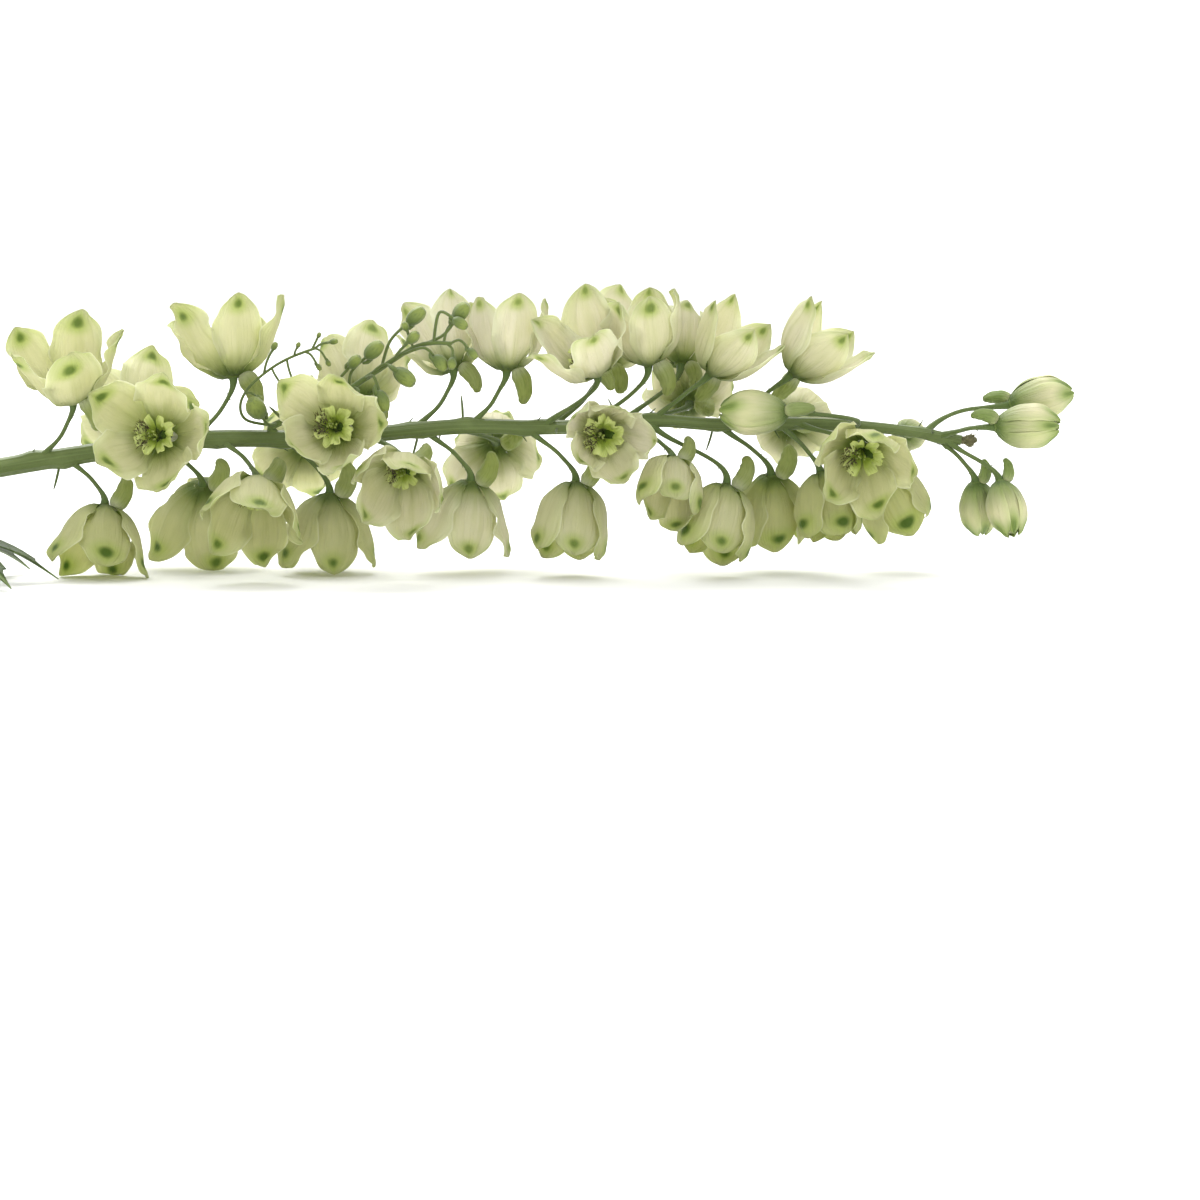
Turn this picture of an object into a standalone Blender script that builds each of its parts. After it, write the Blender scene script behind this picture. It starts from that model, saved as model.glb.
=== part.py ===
"""A cut delphinium flower spike lying on its lower flowers.

The spike lies along X with its tip at +X. Its front is at -Y, and heights are measured from the
surface that it rests on. Sizes are in millimetres until the points are made.
"""

import math
import random
from dataclasses import dataclass

import bmesh
import bpy
from mathutils import Matrix, Quaternion, Vector

MM = 0.001
GAP = 0.3  # between pieces that touch
MELT = 0.01  # points nearer than this are one

# Where the middle of the object's base lies in the coordinates used below
BASE_MIDDLE = (-106.4, 5.3, 0.08)

# The axis runs through these points, from the cut end to the tip
AXIS_POINTS = (
    (-370, 0.0, 4.6),
    (-300, 1.5, 16.0),
    (-210, 1.0, 34.0),
    (-135, -0.5, 45.0),
    (-90, 0.5, 45.7),
    (-47, 0.0, 49.5),
    (-13, 0.6, 49.3),
    (17, -0.4, 51.6),
    (38, 0.4, 50.3),
    (72, -0.3, 50.6),
    (100, 0.4, 48.3),
    (120, 0.0, 45.0),
)
CUT_RADIUS = 4.0
TIP_RADIUS = 1.7
AXIS_STEPS = 20

PEDICEL_RADIUS = 0.8
PEDICEL_FOOT = 1.5  # how much thicker a pedicel is where it leaves the axis
PEDICEL_STEPS = 4
BRACT_LENGTH = 9.0
BRACT_RADIUS = 0.75
BRACT_EVERY = 3  # a bract stands on one pedicel in this many

# Flower sizes, for a flower of size 1
SEPAL_LENGTH = 28.0
SEPAL_WIDTH = 18.5
SEPAL_THICKNESS = 0.65
SEPAL_SHARES = (0.0, 0.2, 0.5, 0.8, 1.0)  # where its rows of points lie along a sepal
SEPAL_LENGTHS = (0.98, 1.02)  # the range of its sepals' lengths in one flower
LAYER = 1.1  # how far an outer sepal's edge lies outside the middle layer
LAYER_OPENNESS = 0.04  # how much wider than the middle layer the outer sepals open
FLOOR_CLEARANCE = 0.4  # the middle of a petal's thickness over the surface it is pressed to
# The five sepals share a small ring round the flower's line, closed behind
RING_RADIUS = 2.2
RING_DEPTH = 0.8
BASE_DEPTH = 0.4
# Degrees between a sepal and the flower's own line, at these shares of its length
PROFILE_SHARES = (0.0, 0.15, 0.4, 0.7, 1.0)
BELL_ANGLES = (66, 46, 13, -7, -12)
OPEN_ANGLES = (78, 62, 44, 40, 62)
# How far each sepal's two edges lie outside (+) or inside (-) their neighbours, in layers
SEPAL_EDGES = ((1, 1), (-1, -1), (1, 1), (-1, -1), (1.6, -1))
# The spur behind the top sepal: y, z and radius at each point
SPUR_POINTS = (
    (2.4, 0.9, 1.0),
    (4.4, -0.9, 2.5),
    (5.6, -4.2, 2.5),
    (5.0, -8.6, 1.7),
)

BUD_LENGTH = 23.5
BUD_RADIUS = 7.2
BUD_RIBS = 0.05
BUD_TAPER = 0.2  # how much slimmer than an egg its two ends are
BUD_SPUR = 0.8  # of a flower's spur

# The petals of an eye: distance from the flower's line, along it, and half width at each row
EYE_ROWS = (
    (0.0, 1.4, 0.0),
    (1.0, 2.1, 1.0),
    (2.9, 6.8, 1.65),
    (6.8, 10.4, 3.1),
)
EYE_OPENNESS = 0.36  # flowers opened this far show an eye


@dataclass
class Flower:
    """Where one flower or bud grows, and how far it has opened."""

    foot: float  # x of its pedicel's root on the axis
    ahead: float  # how much nearer the tip its base lies
    around: float  # degrees round the axis from straight up, towards the front
    reach: float  # from the axis to its base
    lean: float  # degrees from facing straight out, towards the tip
    openness: float = 0.0  # 0 a closed bell, 1 wide open
    size: float = 1.0
    spin: float = 0.0  # degrees its spur is turned from the side towards the tip


# Old flowers near the leaves, cut end first, in the spiral of the axis
OLD_BLOOMS = (
    Flower(-187, 13, 25, 20, -8, 0.52, 1.12),
    Flower(-177, 13, 160, 18, -6, 0.36),
    Flower(-168, 13, 285, 20, -8, 0.50, 1.12),
    Flower(-157, 13, 80, 20, -6, 0.54, 1.12),
    Flower(-146, 13, 215, 19, -4, 0.46, 1.12),
    Flower(-135, 13, 345, 20, -8, 0.50, 1.12),
    Flower(-126, 13, 132, 19, -4, 0.35, 1.06),
    Flower(-113, 14, 262, 19, -4, 0.46, 1.08),
    Flower(-104, 14, 185, 18, -4, 0.38, 1.04),
    Flower(-99, 13, 78, 19, -6, 0.44, 1.04),
    Flower(-93, 13, 302, 19, -6, 0.40, 1.04),
    Flower(-77, 13, 118, 19, -6, 0.34),
)
# Young flowers near the tip
UPPER_BLOOMS = (
    Flower(-62, 13, -35, 22, -14, 0.36),
    Flower(-43, 12, -6, 18, 0, 0.26, 1.02),
    Flower(-19, 18, 32, 20, -20, 0.44, spin=80),
    Flower(-2, 18, 6, 18, -8, 0.24),
    Flower(8, 19, -36, 22, 0, 0.05, 0.85),
    Flower(18, 18, 14, 17, 36, 0.30, spin=55),
    Flower(45, 18, 5, 16, 44, 0.30, spin=65),
)
FRONT_BLOOMS = (
    Flower(-12, 12, 94, 18, 8, 0.38, 0.9),
    Flower(10, 14, 136, 16, -4, 0.08, 0.9),
    Flower(66, 20, 110, 16, 0, 0.40),
)
HANGING_BLOOMS = (
    Flower(-58, 15, 190, 18, -10, 0.36),
    Flower(-24, 16, 168, 18, -6, 0.12),
    Flower(16, 26, 162, 20, -12, 0.12),
    Flower(40, 17, 200, 18, 0, 0.12),
    Flower(60, 13, 165, 16, 10, 0.08, 0.9),
    Flower(80, 13, 208, 16, 22, 0.18, 0.95),
)
BACK_BLOOMS = (
    Flower(-50, 15, 250, 19, -6, 0.40),
    Flower(-16, 17, -44, 24, 2, 0.35),
    Flower(12, 18, 285, 19, 0, 0.32),
    Flower(50, 14, 265, 17, 8, 0.24),
)

BUDS = (
    Flower(84, -22, 72, 14.5, -86),
    Flower(108, 28, -15, 12, 78, size=0.95, spin=150),
    Flower(113, 17, 66, 13, 86, size=0.95, spin=130),
    Flower(112, 13, 192, 14, 8, size=0.84),
    Flower(115, 17.5, 164, 13.5, 12, size=0.84),
    Flower(88, 13, 262, 13, 20, size=0.7),
)

# Side shoot: its twig from where it leaves the axis. For each bud the share along the twig where
# its stalk starts, how the stalk bends and where it ends, both from there, and the bud's length
SHOOT_ROOT = -108
SHOOT_AROUND = 15
SHOOT_POINTS = (
    (-90, -7, 58),
    (-76, -10, 67),
    (-60, -13, 77),
    (-49, -15, 78),
)
SHOOT_RADIUS = 1.3
SHOOT_BUDS = (
    (0.22, (-3, -4, 0), (-5, -7, 3), 9.0),
    (0.45, (0, -1, 5), (4, -4, 10), 6.0),
    (0.50, (1, -1, 6), (6, -2, 11), 8.0),
    (0.58, (3, -5, 1), (5, -7, -4), 8.0),
    (0.60, (5, -3, 4), (9, -5, 2), 9.0),
    (0.65, (3, 0, 9), (9, -1, 15), 8.0),
    (0.72, (8, -4, 3), (12, -5, 0), 6.5),
    (0.84, (6, 0, 3), (10, -1, 8), 7.5),
    (0.88, (2, -2, 10), (7, -4, 8), 6.0),
    (1.00, (3, 0, 1), (6, -1, -2), 4.5),
)
SHOOT_BRACTS = (
    (0.25, (-4, -5, 5)),
    (0.32, (5, -7, 2)),
    (0.40, (-3, 0, 8)),
)
SHOOT_BRACT_RADIUS = 1.0
SHOOT_STALK_RADII = (0.6, 0.5, 0.5)
SMALL_BUD_WIDTH = 0.74  # of its length
SMALL_BUD_SINK = 0.1  # share of its length that covers its stalk's end
SMALL_BUD_ROWS = 3
SMALL_BUD_SIDES = 5
# A finer twig that leaves the first one, and its tiny buds: share, stalk and length
SPRAY_POINTS = (
    (-108, -2, 50),
    (-117, -4, 52),
    (-119, -5, 57),
    (-116, -6, 63),
    (-109, -6, 69),
    (-102, -7, 73),
    (-94, -8, 76),
)
SPRAY_RADIUS = 0.5
SPRAY_STALK_RADII = (0.4, 0.35)
TINY_BUD_SIDES = 4
SPRAY_BUDS = (
    (0.45, (4, -2, -1), 2.8),
    (0.62, (3, -1, 8), 3.2),
    (0.80, (3, -3, -9), 2.8),
    (0.92, (4, -1, -4), 2.8),
    (1.00, (5, 0, 2), 3.0),
)

# Sideways, upwards and along, to the ends of the axis' withered lumps
DRIED_LUMPS = (
    (0.3, 1.0, 5.5),
    (-1.4, -0.9, 4.5),
    (1.3, -0.8, 5.0),
)
DRIED_RADII = (0.8, 1.3, 0.5)

# Leaves: x on the stem, degrees round it from straight up, stalk length, blade size
LEAVES = (
    (-240, 112, 34, 44),
    (-272, 262, 36, 48),
)
LEAF_THICKNESS = 0.7
LEAF_STALK_RADII = (1.1, 1.0, 0.9, 0.9)
LOBES = 5
LOBE_FAN = 44.0  # degrees from one lobe to the next
# The blade's reach at a notch, a tooth, a lobe's tip and the tooth after it
LOBE_OUTLINE = (0.26, 0.66, 1.0, 0.74)
PALM = 0.06  # share of the blade that the stalk's end covers

COLOURS = {
    "sepal": (0.80, 0.82, 0.58),
    "bud": (0.66, 0.74, 0.36),
    "eye": (0.62, 0.68, 0.28),
    "stem": (0.16, 0.24, 0.07),
    "shoot": (0.30, 0.42, 0.14),
    "leaf": (0.03, 0.07, 0.02),
    "dried": (0.20, 0.14, 0.08),
}


# Scene and helpers


def clear_scene():
    """Remove what a new file holds."""
    for item in list(bpy.data.objects):
        bpy.data.objects.remove(item)


def new_collection(name):
    """A collection in the scene."""
    group = bpy.data.collections.new(name)
    bpy.context.scene.collection.children.link(group)
    return group


def make_material(name, colour, roughness=0.6):
    """A plain material in the piece's main colour."""
    material = bpy.data.materials.new(name)
    material.use_nodes = True
    shader = material.node_tree.nodes["Principled BSDF"]
    shader.inputs["Base Color"].default_value = (*colour, 1.0)
    shader.inputs["Roughness"].default_value = roughness
    shader.inputs["Metallic"].default_value = 0.0
    return material


def add_object(name, shape, group):
    """Make an object of a bmesh and put it in a collection."""
    mesh = bpy.data.meshes.new(name)
    shape.to_mesh(mesh)
    shape.free()
    item = bpy.data.objects.new(name, mesh)
    group.objects.link(item)
    return item


def evaluated_mesh(item):
    """The mesh of an object with its modifiers, as the viewport shows it."""
    bpy.context.view_layer.update()
    graph = bpy.context.evaluated_depsgraph_get()
    return bpy.data.meshes.new_from_object(item.evaluated_get(graph))


def lerp(start, end, share):
    """A value between two others."""
    return start + (end - start) * share


def between(shares, values, share):
    """Read a value from a short list by straight lines."""
    for low in range(len(shares) - 1):
        if share <= shares[low + 1]:
            part = (share - shares[low]) / (shares[low + 1] - shares[low])
            return lerp(values[low], values[low + 1], part)
    return values[-1]


def axis_point(x):
    """The middle of the axis at x, on a smooth curve through its points."""
    x = min(max(x, AXIS_POINTS[0][0]), AXIS_POINTS[-1][0])
    last = len(AXIS_POINTS) - 1
    low = next(k for k in range(last) if x <= AXIS_POINTS[k + 1][0])
    start, end = Vector(AXIS_POINTS[low]), Vector(AXIS_POINTS[low + 1])
    before, after = Vector(AXIS_POINTS[max(low - 1, 0)]), Vector(AXIS_POINTS[min(low + 2, last)])
    span = end.x - start.x
    leave = (end - before) / (end.x - before.x) * span
    arrive = (after - start) / (after.x - start.x) * span
    t = (x - start.x) / span
    point = start * (2 * t**3 - 3 * t**2 + 1) + leave * (t**3 - 2 * t**2 + t)
    point += end * (3 * t**2 - 2 * t**3) + arrive * (t**3 - t**2)
    point.x = x
    return point


def axis_radius(x):
    """The stem's radius, slimmer towards the tip."""
    length = AXIS_POINTS[-1][0] - AXIS_POINTS[0][0]
    share = (x - AXIS_POINTS[0][0]) / length
    return lerp(CUT_RADIUS, TIP_RADIUS, share)


def settle(point):
    """Press a point of a petal or leaf onto the surface instead of through it."""
    return Vector((point.x, point.y, max(point.z, FLOOR_CLEARANCE)))


def tube(name, points, radii, group, roundness=0):
    """A closed tube through points in millimetres, with a radius at each."""
    curve = bpy.data.curves.new(name, "CURVE")
    curve.dimensions = "3D"
    curve.bevel_depth = MM
    curve.bevel_resolution = roundness
    curve.use_fill_caps = True
    spline = curve.splines.new("POLY")
    spline.points.add(len(points) - 1)
    for knot, point, radius in zip(spline.points, points, radii):
        knot.co = (*(Vector(point) * MM), 1.0)
        knot.radius = radius
    line = bpy.data.objects.new(name, curve)
    group.objects.link(line)
    mesh = evaluated_mesh(line)
    place = line.matrix_world.copy()
    bpy.data.objects.remove(line)
    shape = bmesh.new()
    shape.from_mesh(mesh)
    bmesh.ops.remove_doubles(shape, verts=shape.verts, dist=1e-6)
    bmesh.ops.recalc_face_normals(shape, faces=shape.faces)
    bpy.data.meshes.remove(mesh)
    item = add_object(name, shape, group)
    item.matrix_world = place
    return item


def add_blade(shape, columns, rows, place):
    """Add a grid bent to a formula: place gives a point for the shares along and across it."""
    made = bmesh.ops.create_grid(shape, x_segments=columns, y_segments=rows, size=0.5)
    for vert in made["verts"]:
        vert.co = settle(place(vert.co.y + 0.5, 2 * vert.co.x)) * MM


def thicken(name, shape, thickness, group):
    """Make an object of open blades that meet at their shared points, with a thickness."""
    bmesh.ops.remove_doubles(shape, verts=shape.verts, dist=MELT * MM)
    bmesh.ops.triangulate(shape, faces=shape.faces)
    bmesh.ops.recalc_face_normals(shape, faces=shape.faces)
    item = add_object(name, shape, group)
    wall = item.modifiers.new("thickness", "SOLIDIFY")
    wall.thickness = thickness * MM
    wall.offset = 0.0
    return item


def fuse(name, pieces, group, material):
    """Join closed pieces that run into each other into one body."""
    first, *others = pieces
    joined = new_collection(name + "_pieces")
    for piece in others:
        joined.objects.link(piece)
    union = first.modifiers.new("union", "BOOLEAN")
    union.operation = "UNION"
    union.operand_type = "COLLECTION"
    union.collection = joined
    # the exact solver leaves cracks where many thin blades cross
    union.solver = "MANIFOLD"
    mesh = evaluated_mesh(first)
    for piece in pieces:
        bpy.data.objects.remove(piece)
    bpy.data.collections.remove(joined)
    mesh.name = name
    mesh.materials.clear()
    mesh.materials.append(material)
    item = bpy.data.objects.new(name, mesh)
    group.objects.link(item)
    mesh.shade_smooth()
    mesh.set_sharp_from_angle(angle=math.radians(40))
    return item


# Flowers


def flower_place(flower):
    """The matrix of a flower: Z the way it faces, Y the side of its spur."""
    turn = math.radians(flower.around)
    lean = math.radians(flower.lean)
    out = Vector((0, -math.sin(turn), math.cos(turn)))
    tipward = Vector((1, 0, 0))
    facing = out * math.cos(lean) + tipward * math.sin(lean)
    spurward = tipward * math.cos(lean) - out * math.sin(lean)
    spurward.rotate(Quaternion(facing, math.radians(flower.spin)))
    side = spurward.cross(facing)
    hub = axis_point(flower.foot + flower.ahead) + out * flower.reach
    hub.x = flower.foot + flower.ahead
    return Matrix.Translation(hub) @ Matrix((side, spurward, facing)).transposed().to_4x4()


def sepal_angle(openness, share):
    """Degrees between a sepal and the flower's line at a share of its length."""
    bell = between(PROFILE_SHARES, BELL_ANGLES, share)
    wide = between(PROFILE_SHARES, OPEN_ANGLES, share)
    return lerp(bell, wide, openness)


def sepal_midrib(openness, share, length):
    """Distance from the flower's line, and along it, of a point on a sepal's midrib."""
    steps = 24
    radius, depth = 0.0, 0.0
    for step in range(steps):
        angle = math.radians(sepal_angle(openness, share * (step + 0.5) / steps))
        radius += math.sin(angle) * length * share / steps
        depth += math.cos(angle) * length * share / steps
    return radius, depth


def sepal_half_width(share):
    """Half the width of a sepal of full size: a narrow claw, a broad blade, a blunt tip."""
    claw = 0.17
    widest = 0.56
    rise = math.sin(math.pi / 2 * min(1.0, share / widest)) ** 1.8
    fall = max(0.0, (share - widest) / 0.455)
    return SEPAL_WIDTH / 2 * lerp(claw, 1.0, rise) * math.sqrt(1 - fall**2)


def add_sepal(shape, place, azimuth, edges, openness, ring, length):
    """One sepal from the ring, cupped round the flower, its edges over or under its neighbours."""
    out = Vector((math.cos(azimuth), math.sin(azimuth), 0))
    round_it = Vector((-math.sin(azimuth), math.cos(azimuth), 0))
    forward = Vector((0, 0, 1))
    rows = len(SEPAL_SHARES)

    def point(along, across):
        row = round(along * rows)
        if row == 0:
            return place @ (forward * BASE_DEPTH)
        if row == 1:
            side = ring * math.tan(math.radians(36)) * across
            return place @ (out * ring + round_it * side + forward * RING_DEPTH)
        share = SEPAL_SHARES[row - 1]
        tip = 1 + 0.04 * (1 - abs(across)) * share**4
        radius, depth = sepal_midrib(openness, share, length * tip)
        radius += ring
        depth += RING_DEPTH
        slope = math.radians(sepal_angle(openness, share))
        outward = out * math.cos(slope) - forward * math.sin(slope)
        cup = max(radius, 5.0) + 11 * openness * share
        bend = sepal_half_width(share) * length / SEPAL_LENGTH * across / cup
        layer = LAYER * lerp(edges[0], edges[1], (across + 1) / 2) * min(1.0, share / 0.3)
        spot = out * radius + forward * depth + round_it * (cup * math.sin(bend))
        spot += outward * (layer - cup * (1 - math.cos(bend)))
        return place @ spot

    add_blade(shape, 2, rows, point)


def make_spur(name, place, size, group):
    """The hollow horn behind the top sepal, closed at its end."""
    points = [place @ Vector((0, y * size, z * size)) for y, z, _ in SPUR_POINTS]
    return tube(name, points, [radius * size for _, _, radius in SPUR_POINTS], group, 1)


def make_bloom(number, flower, group, bench, material):
    """Five sepals grown together at their ring, and a spur, as one body."""
    name = f"bloom_{number:02d}"
    draw = random.Random(number)
    place = flower_place(flower)
    shape = bmesh.new()
    for sepal, edges in enumerate(SEPAL_EDGES):
        azimuth = math.radians(90 + 72 * sepal)
        openness = flower.openness + LAYER_OPENNESS * (edges[0] + edges[1]) / 2
        length = SEPAL_LENGTH * flower.size * draw.uniform(*SEPAL_LENGTHS)
        ring = RING_RADIUS * flower.size
        add_sepal(shape, place, azimuth, edges, openness, ring, length)
    sepals = thicken(name + "_sepals", shape, SEPAL_THICKNESS, bench)
    spur = make_spur(name + "_spur", place, flower.size, bench)
    return fuse(name, [sepals, spur], group, material)


def make_bud(number, flower, group, bench, material):
    """A closed bud: five ribs in an egg shape, with its spur."""
    name = f"bud_{number:02d}"
    place = flower_place(flower)
    shape = bmesh.new()
    bmesh.ops.create_uvsphere(shape, u_segments=10, v_segments=6, radius=1.0)
    for vert in shape.verts:
        share = (vert.co.z + 1) / 2
        turn = math.atan2(vert.co.y, vert.co.x)
        ribs = 1 + BUD_RIBS * math.cos(5 * (turn - math.pi / 2))
        taper = 1 - BUD_TAPER * vert.co.z**2
        vert.co.x *= BUD_RADIUS * ribs * taper
        vert.co.y *= BUD_RADIUS * ribs * taper
        vert.co.z = share * BUD_LENGTH
    shape.transform(Matrix.Scale(MM, 4) @ place @ Matrix.Scale(flower.size, 4))
    body = add_object(name + "_body", shape, bench)
    spur = make_spur(name + "_spur", place, flower.size * BUD_SPUR, bench)
    return fuse(name, [body, spur], group, material)


def make_eye(number, flower, group, material):
    """Four small inner petals grown together at their foot, inside an open flower."""
    name = f"eye_{number:02d}"
    place = flower_place(flower)
    shape = bmesh.new()
    rows = len(EYE_ROWS) - 1
    for petal in range(4):
        azimuth = math.radians(45 + 90 * petal)
        out = Vector((math.cos(azimuth), math.sin(azimuth), 0))
        round_it = Vector((-math.sin(azimuth), math.cos(azimuth), 0))

        def point(along, across, out=out, round_it=round_it):
            reach, height, width = EYE_ROWS[round(along * rows)]
            return place @ (out * reach + round_it * (width * across) + Vector((0, 0, height)))

        add_blade(shape, 1, rows, point)
    item = thicken(name, shape, SEPAL_THICKNESS, group)
    item.data.materials.append(material)
    return item


# Green parts


def pedicel_points(flower):
    """The flower stalk: it leaves the axis at a slant and comes up behind its flower."""
    place = flower_place(flower)
    foot = axis_point(flower.foot)
    turn = math.radians(flower.around)
    out = Vector((0, -math.sin(turn), math.cos(turn)))
    back = Vector((0, 0, -GAP))
    end = place @ back
    span = (end - foot).length
    leave = (out + Vector((0.7, 0, 0))).normalized() * (0.42 * span)
    arrive = (place.to_3x3() @ Vector((0, 0, 1))) * (0.34 * span)
    corners = (foot, foot + leave, end - arrive, end)
    points = []
    for step in range(PEDICEL_STEPS + 1):
        t = step / PEDICEL_STEPS
        weights = ((1 - t) ** 3, 3 * t * (1 - t) ** 2, 3 * t**2 * (1 - t), t**3)
        spot = Vector()
        for weight, corner in zip(weights, corners):
            spot += corner * weight
        points.append(spot)
    return points


def make_bract(name, root, out, length, radius, group):
    """A slender pointed bract."""
    shape = bmesh.new()
    bmesh.ops.create_cone(
        shape, cap_ends=True, segments=3, radius1=radius, radius2=0.2, depth=length,
    )
    lift = Matrix.Translation(root + out * (length / 2))
    shape.transform(Matrix.Scale(MM, 4) @ lift @ out.to_track_quat("Z", "Y").to_matrix().to_4x4())
    return add_object(name, shape, group)


def make_stem(flowers, group, bench, material):
    """The axis with every pedicel and bract grown on it."""
    low, high = AXIS_POINTS[0][0], AXIS_POINTS[-1][0]
    stations = [lerp(low, high, step / AXIS_STEPS) for step in range(AXIS_STEPS + 1)]
    middles = [axis_point(x) for x in stations]
    pieces = [tube("axis", middles, [axis_radius(x) for x in stations], bench, 2)]
    for number, flower in enumerate(flowers):
        points = pedicel_points(flower)
        radii = [PEDICEL_RADIUS] * len(points)
        radii[0] = PEDICEL_RADIUS * PEDICEL_FOOT
        pieces.append(tube(f"pedicel_{number}", points, radii, bench))
        if number % BRACT_EVERY == 1:
            turn = math.radians(flower.around)
            out = Vector((-0.15, -math.sin(turn), math.cos(turn))).normalized()
            root = axis_point(flower.foot - 2.5)
            name = f"bract_{number}"
            pieces.append(make_bract(name, root, out, BRACT_LENGTH, BRACT_RADIUS, bench))
    return fuse("stem", pieces, group, material)


def make_dried_tip(group, bench, material):
    """The withered end of the axis: a short stub with three shrivelled lumps."""
    start = axis_point(AXIS_POINTS[-1][0]) + Vector((GAP, 0, 0))
    pieces = []
    for number, (y, z, length) in enumerate(DRIED_LUMPS):
        points = [start + Vector((length * share, y * share, z * share)) for share in (0, 0.5, 1)]
        pieces.append(tube(f"dried_{number}", points, DRIED_RADII, bench))
    return fuse("dried_tip", pieces, group, material)


def twig_points():
    """The side shoot's twig: square off the axis, then along its own points."""
    turn = math.radians(SHOOT_AROUND)
    out = Vector((0, -math.sin(turn), math.cos(turn)))
    root = axis_point(SHOOT_ROOT) + out * (axis_radius(SHOOT_ROOT) + GAP)
    return [root, root + out * 2] + [Vector(point) for point in SHOOT_POINTS]


def make_small_bud(name, base, heading, length, sides, group):
    """A small closed bud of the side shoot, on the end of its stalk."""
    shape = bmesh.new()
    bmesh.ops.create_uvsphere(shape, u_segments=sides, v_segments=SMALL_BUD_ROWS, radius=0.5)
    aim = heading.to_track_quat("Z", "Y").to_matrix().to_4x4()
    width = length * SMALL_BUD_WIDTH
    size = Matrix.Diagonal((width, width, length, 1))
    centre = Matrix.Translation(base + heading * (length * (0.5 - SMALL_BUD_SINK)))
    shape.transform(Matrix.Scale(MM, 4) @ centre @ aim @ size)
    return add_object(name, shape, group)


def read_line(points, share):
    """The point at a share of a line's points."""
    shares = [knot / (len(points) - 1) for knot in range(len(points))]
    return between(shares, points, share)


def make_side_shoot(group, bench, material):
    """A thin twig with small closed buds and bracts, and a finer twig with tiny buds."""
    twig = twig_points()
    radii = [SHOOT_RADIUS * (1 - 0.08 * knot) for knot in range(len(twig))]
    pieces = [tube("twig", twig, radii, bench, 1)]
    for number, (share, turn, offset, length) in enumerate(SHOOT_BUDS):
        start = read_line(twig, share)
        bend, end = start + Vector(turn), start + Vector(offset)
        pieces.append(tube(f"stalk_{number}", (start, bend, end), SHOOT_STALK_RADII, bench))
        name, heading = f"small_bud_{number}", (end - bend).normalized()
        pieces.append(make_small_bud(name, end, heading, length, SMALL_BUD_SIDES, bench))
    for number, (share, way) in enumerate(SHOOT_BRACTS):
        root, out = read_line(twig, share), Vector(way)
        name, radius = f"shoot_bract_{number}", SHOOT_BRACT_RADIUS
        pieces.append(make_bract(name, root, out.normalized(), out.length, radius, bench))
    spray = [Vector(point) for point in SPRAY_POINTS]
    pieces.append(tube("spray", spray, [SPRAY_RADIUS] * len(spray), bench))
    for number, (share, offset, length) in enumerate(SPRAY_BUDS):
        start = read_line(spray, share)
        end = start + Vector(offset)
        pieces.append(tube(f"spray_stalk_{number}", (start, end), SPRAY_STALK_RADII, bench))
        name, heading = f"tiny_bud_{number}", Vector(offset).normalized()
        pieces.append(make_small_bud(name, end, heading, length, TINY_BUD_SIDES, bench))
    return fuse("side_shoot", pieces, group, material)


def make_leaf(number, leaf, group, bench, material):
    """A palmate leaf: one drooping blade cut into toothed lobes, on its stalk."""
    x, around, stalk, size = leaf
    name = f"leaf_{number}"
    turn = math.radians(around)
    out = Vector((0, -math.sin(turn), math.cos(turn)))
    root = axis_point(x) + out * (axis_radius(x) + GAP)
    elbow = root + out * 3
    middle = root + out * (stalk * 0.5) + Vector((stalk * 0.25, 0, 2))
    palm = root + out * (stalk * 0.8) + Vector((stalk * 0.55, 0, 0))
    pieces = [tube(name + "_stalk", (root, elbow, middle, palm), LEAF_STALK_RADII, bench)]
    heading = palm - middle
    heading.z = 0
    heading.normalize()
    sideways = Vector((-heading.y, heading.x, 0))
    columns = LOBES * len(LOBE_OUTLINE)

    def point(share, across):
        column = round((across + 1) / 2 * columns)
        reach = size * LOBE_OUTLINE[column % len(LOBE_OUTLINE)] * lerp(PALM, 1.0, share)
        fan = math.radians(LOBE_FAN * LOBES / 2 * across)
        droop = 0.35 * reach**2 / size
        spot = palm + heading * (reach * math.cos(fan)) + sideways * (reach * math.sin(fan))
        return spot - Vector((0, 0, droop))

    shape = bmesh.new()
    add_blade(shape, columns, 2, point)
    pieces.append(thicken(name + "_blade", shape, LEAF_THICKNESS, bench))
    return fuse(name, pieces, group, material)


def main():
    clear_scene()
    spike = new_collection("delphinium_flower_spike")
    bench = new_collection("workbench")
    finish = {name: make_material(name, colour) for name, colour in COLOURS.items()}
    blooms = [*OLD_BLOOMS, *UPPER_BLOOMS, *FRONT_BLOOMS, *HANGING_BLOOMS, *BACK_BLOOMS]
    for number, flower in enumerate(blooms, 1):
        make_bloom(number, flower, spike, bench, finish["sepal"])
        if flower.openness >= EYE_OPENNESS:
            make_eye(number, flower, spike, finish["eye"])
    for number, flower in enumerate(BUDS, 1):
        make_bud(number, flower, spike, bench, finish["bud"])
    make_stem([*blooms, *BUDS], spike, bench, finish["stem"])
    make_dried_tip(spike, bench, finish["dried"])
    make_side_shoot(spike, bench, finish["shoot"])
    for number, leaf in enumerate(LEAVES, 1):
        make_leaf(number, leaf, spike, bench, finish["leaf"])
    bpy.data.collections.remove(bench)
    shift = Matrix.Translation(-Vector(BASE_MIDDLE) * MM)
    for item in spike.objects:
        item.data.transform(shift)


main()
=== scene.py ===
"""A cut delphinium flower spike, lying on its lower flowers, dressed over its solid model.

Every shape is worked out in millimetres, in the coordinates of the spike's own axis: X runs
towards the tip, the front is at -Y, and Z is the height over the surface that it lies on. The
last step of each piece moves it to the frame's metres.
"""

import logging
import math
import random
from collections.abc import Callable, Sequence
from dataclasses import dataclass
from enum import Enum

import bmesh
import bpy
import numpy as np
from mathutils import Matrix, Quaternion, Vector, noise


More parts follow.
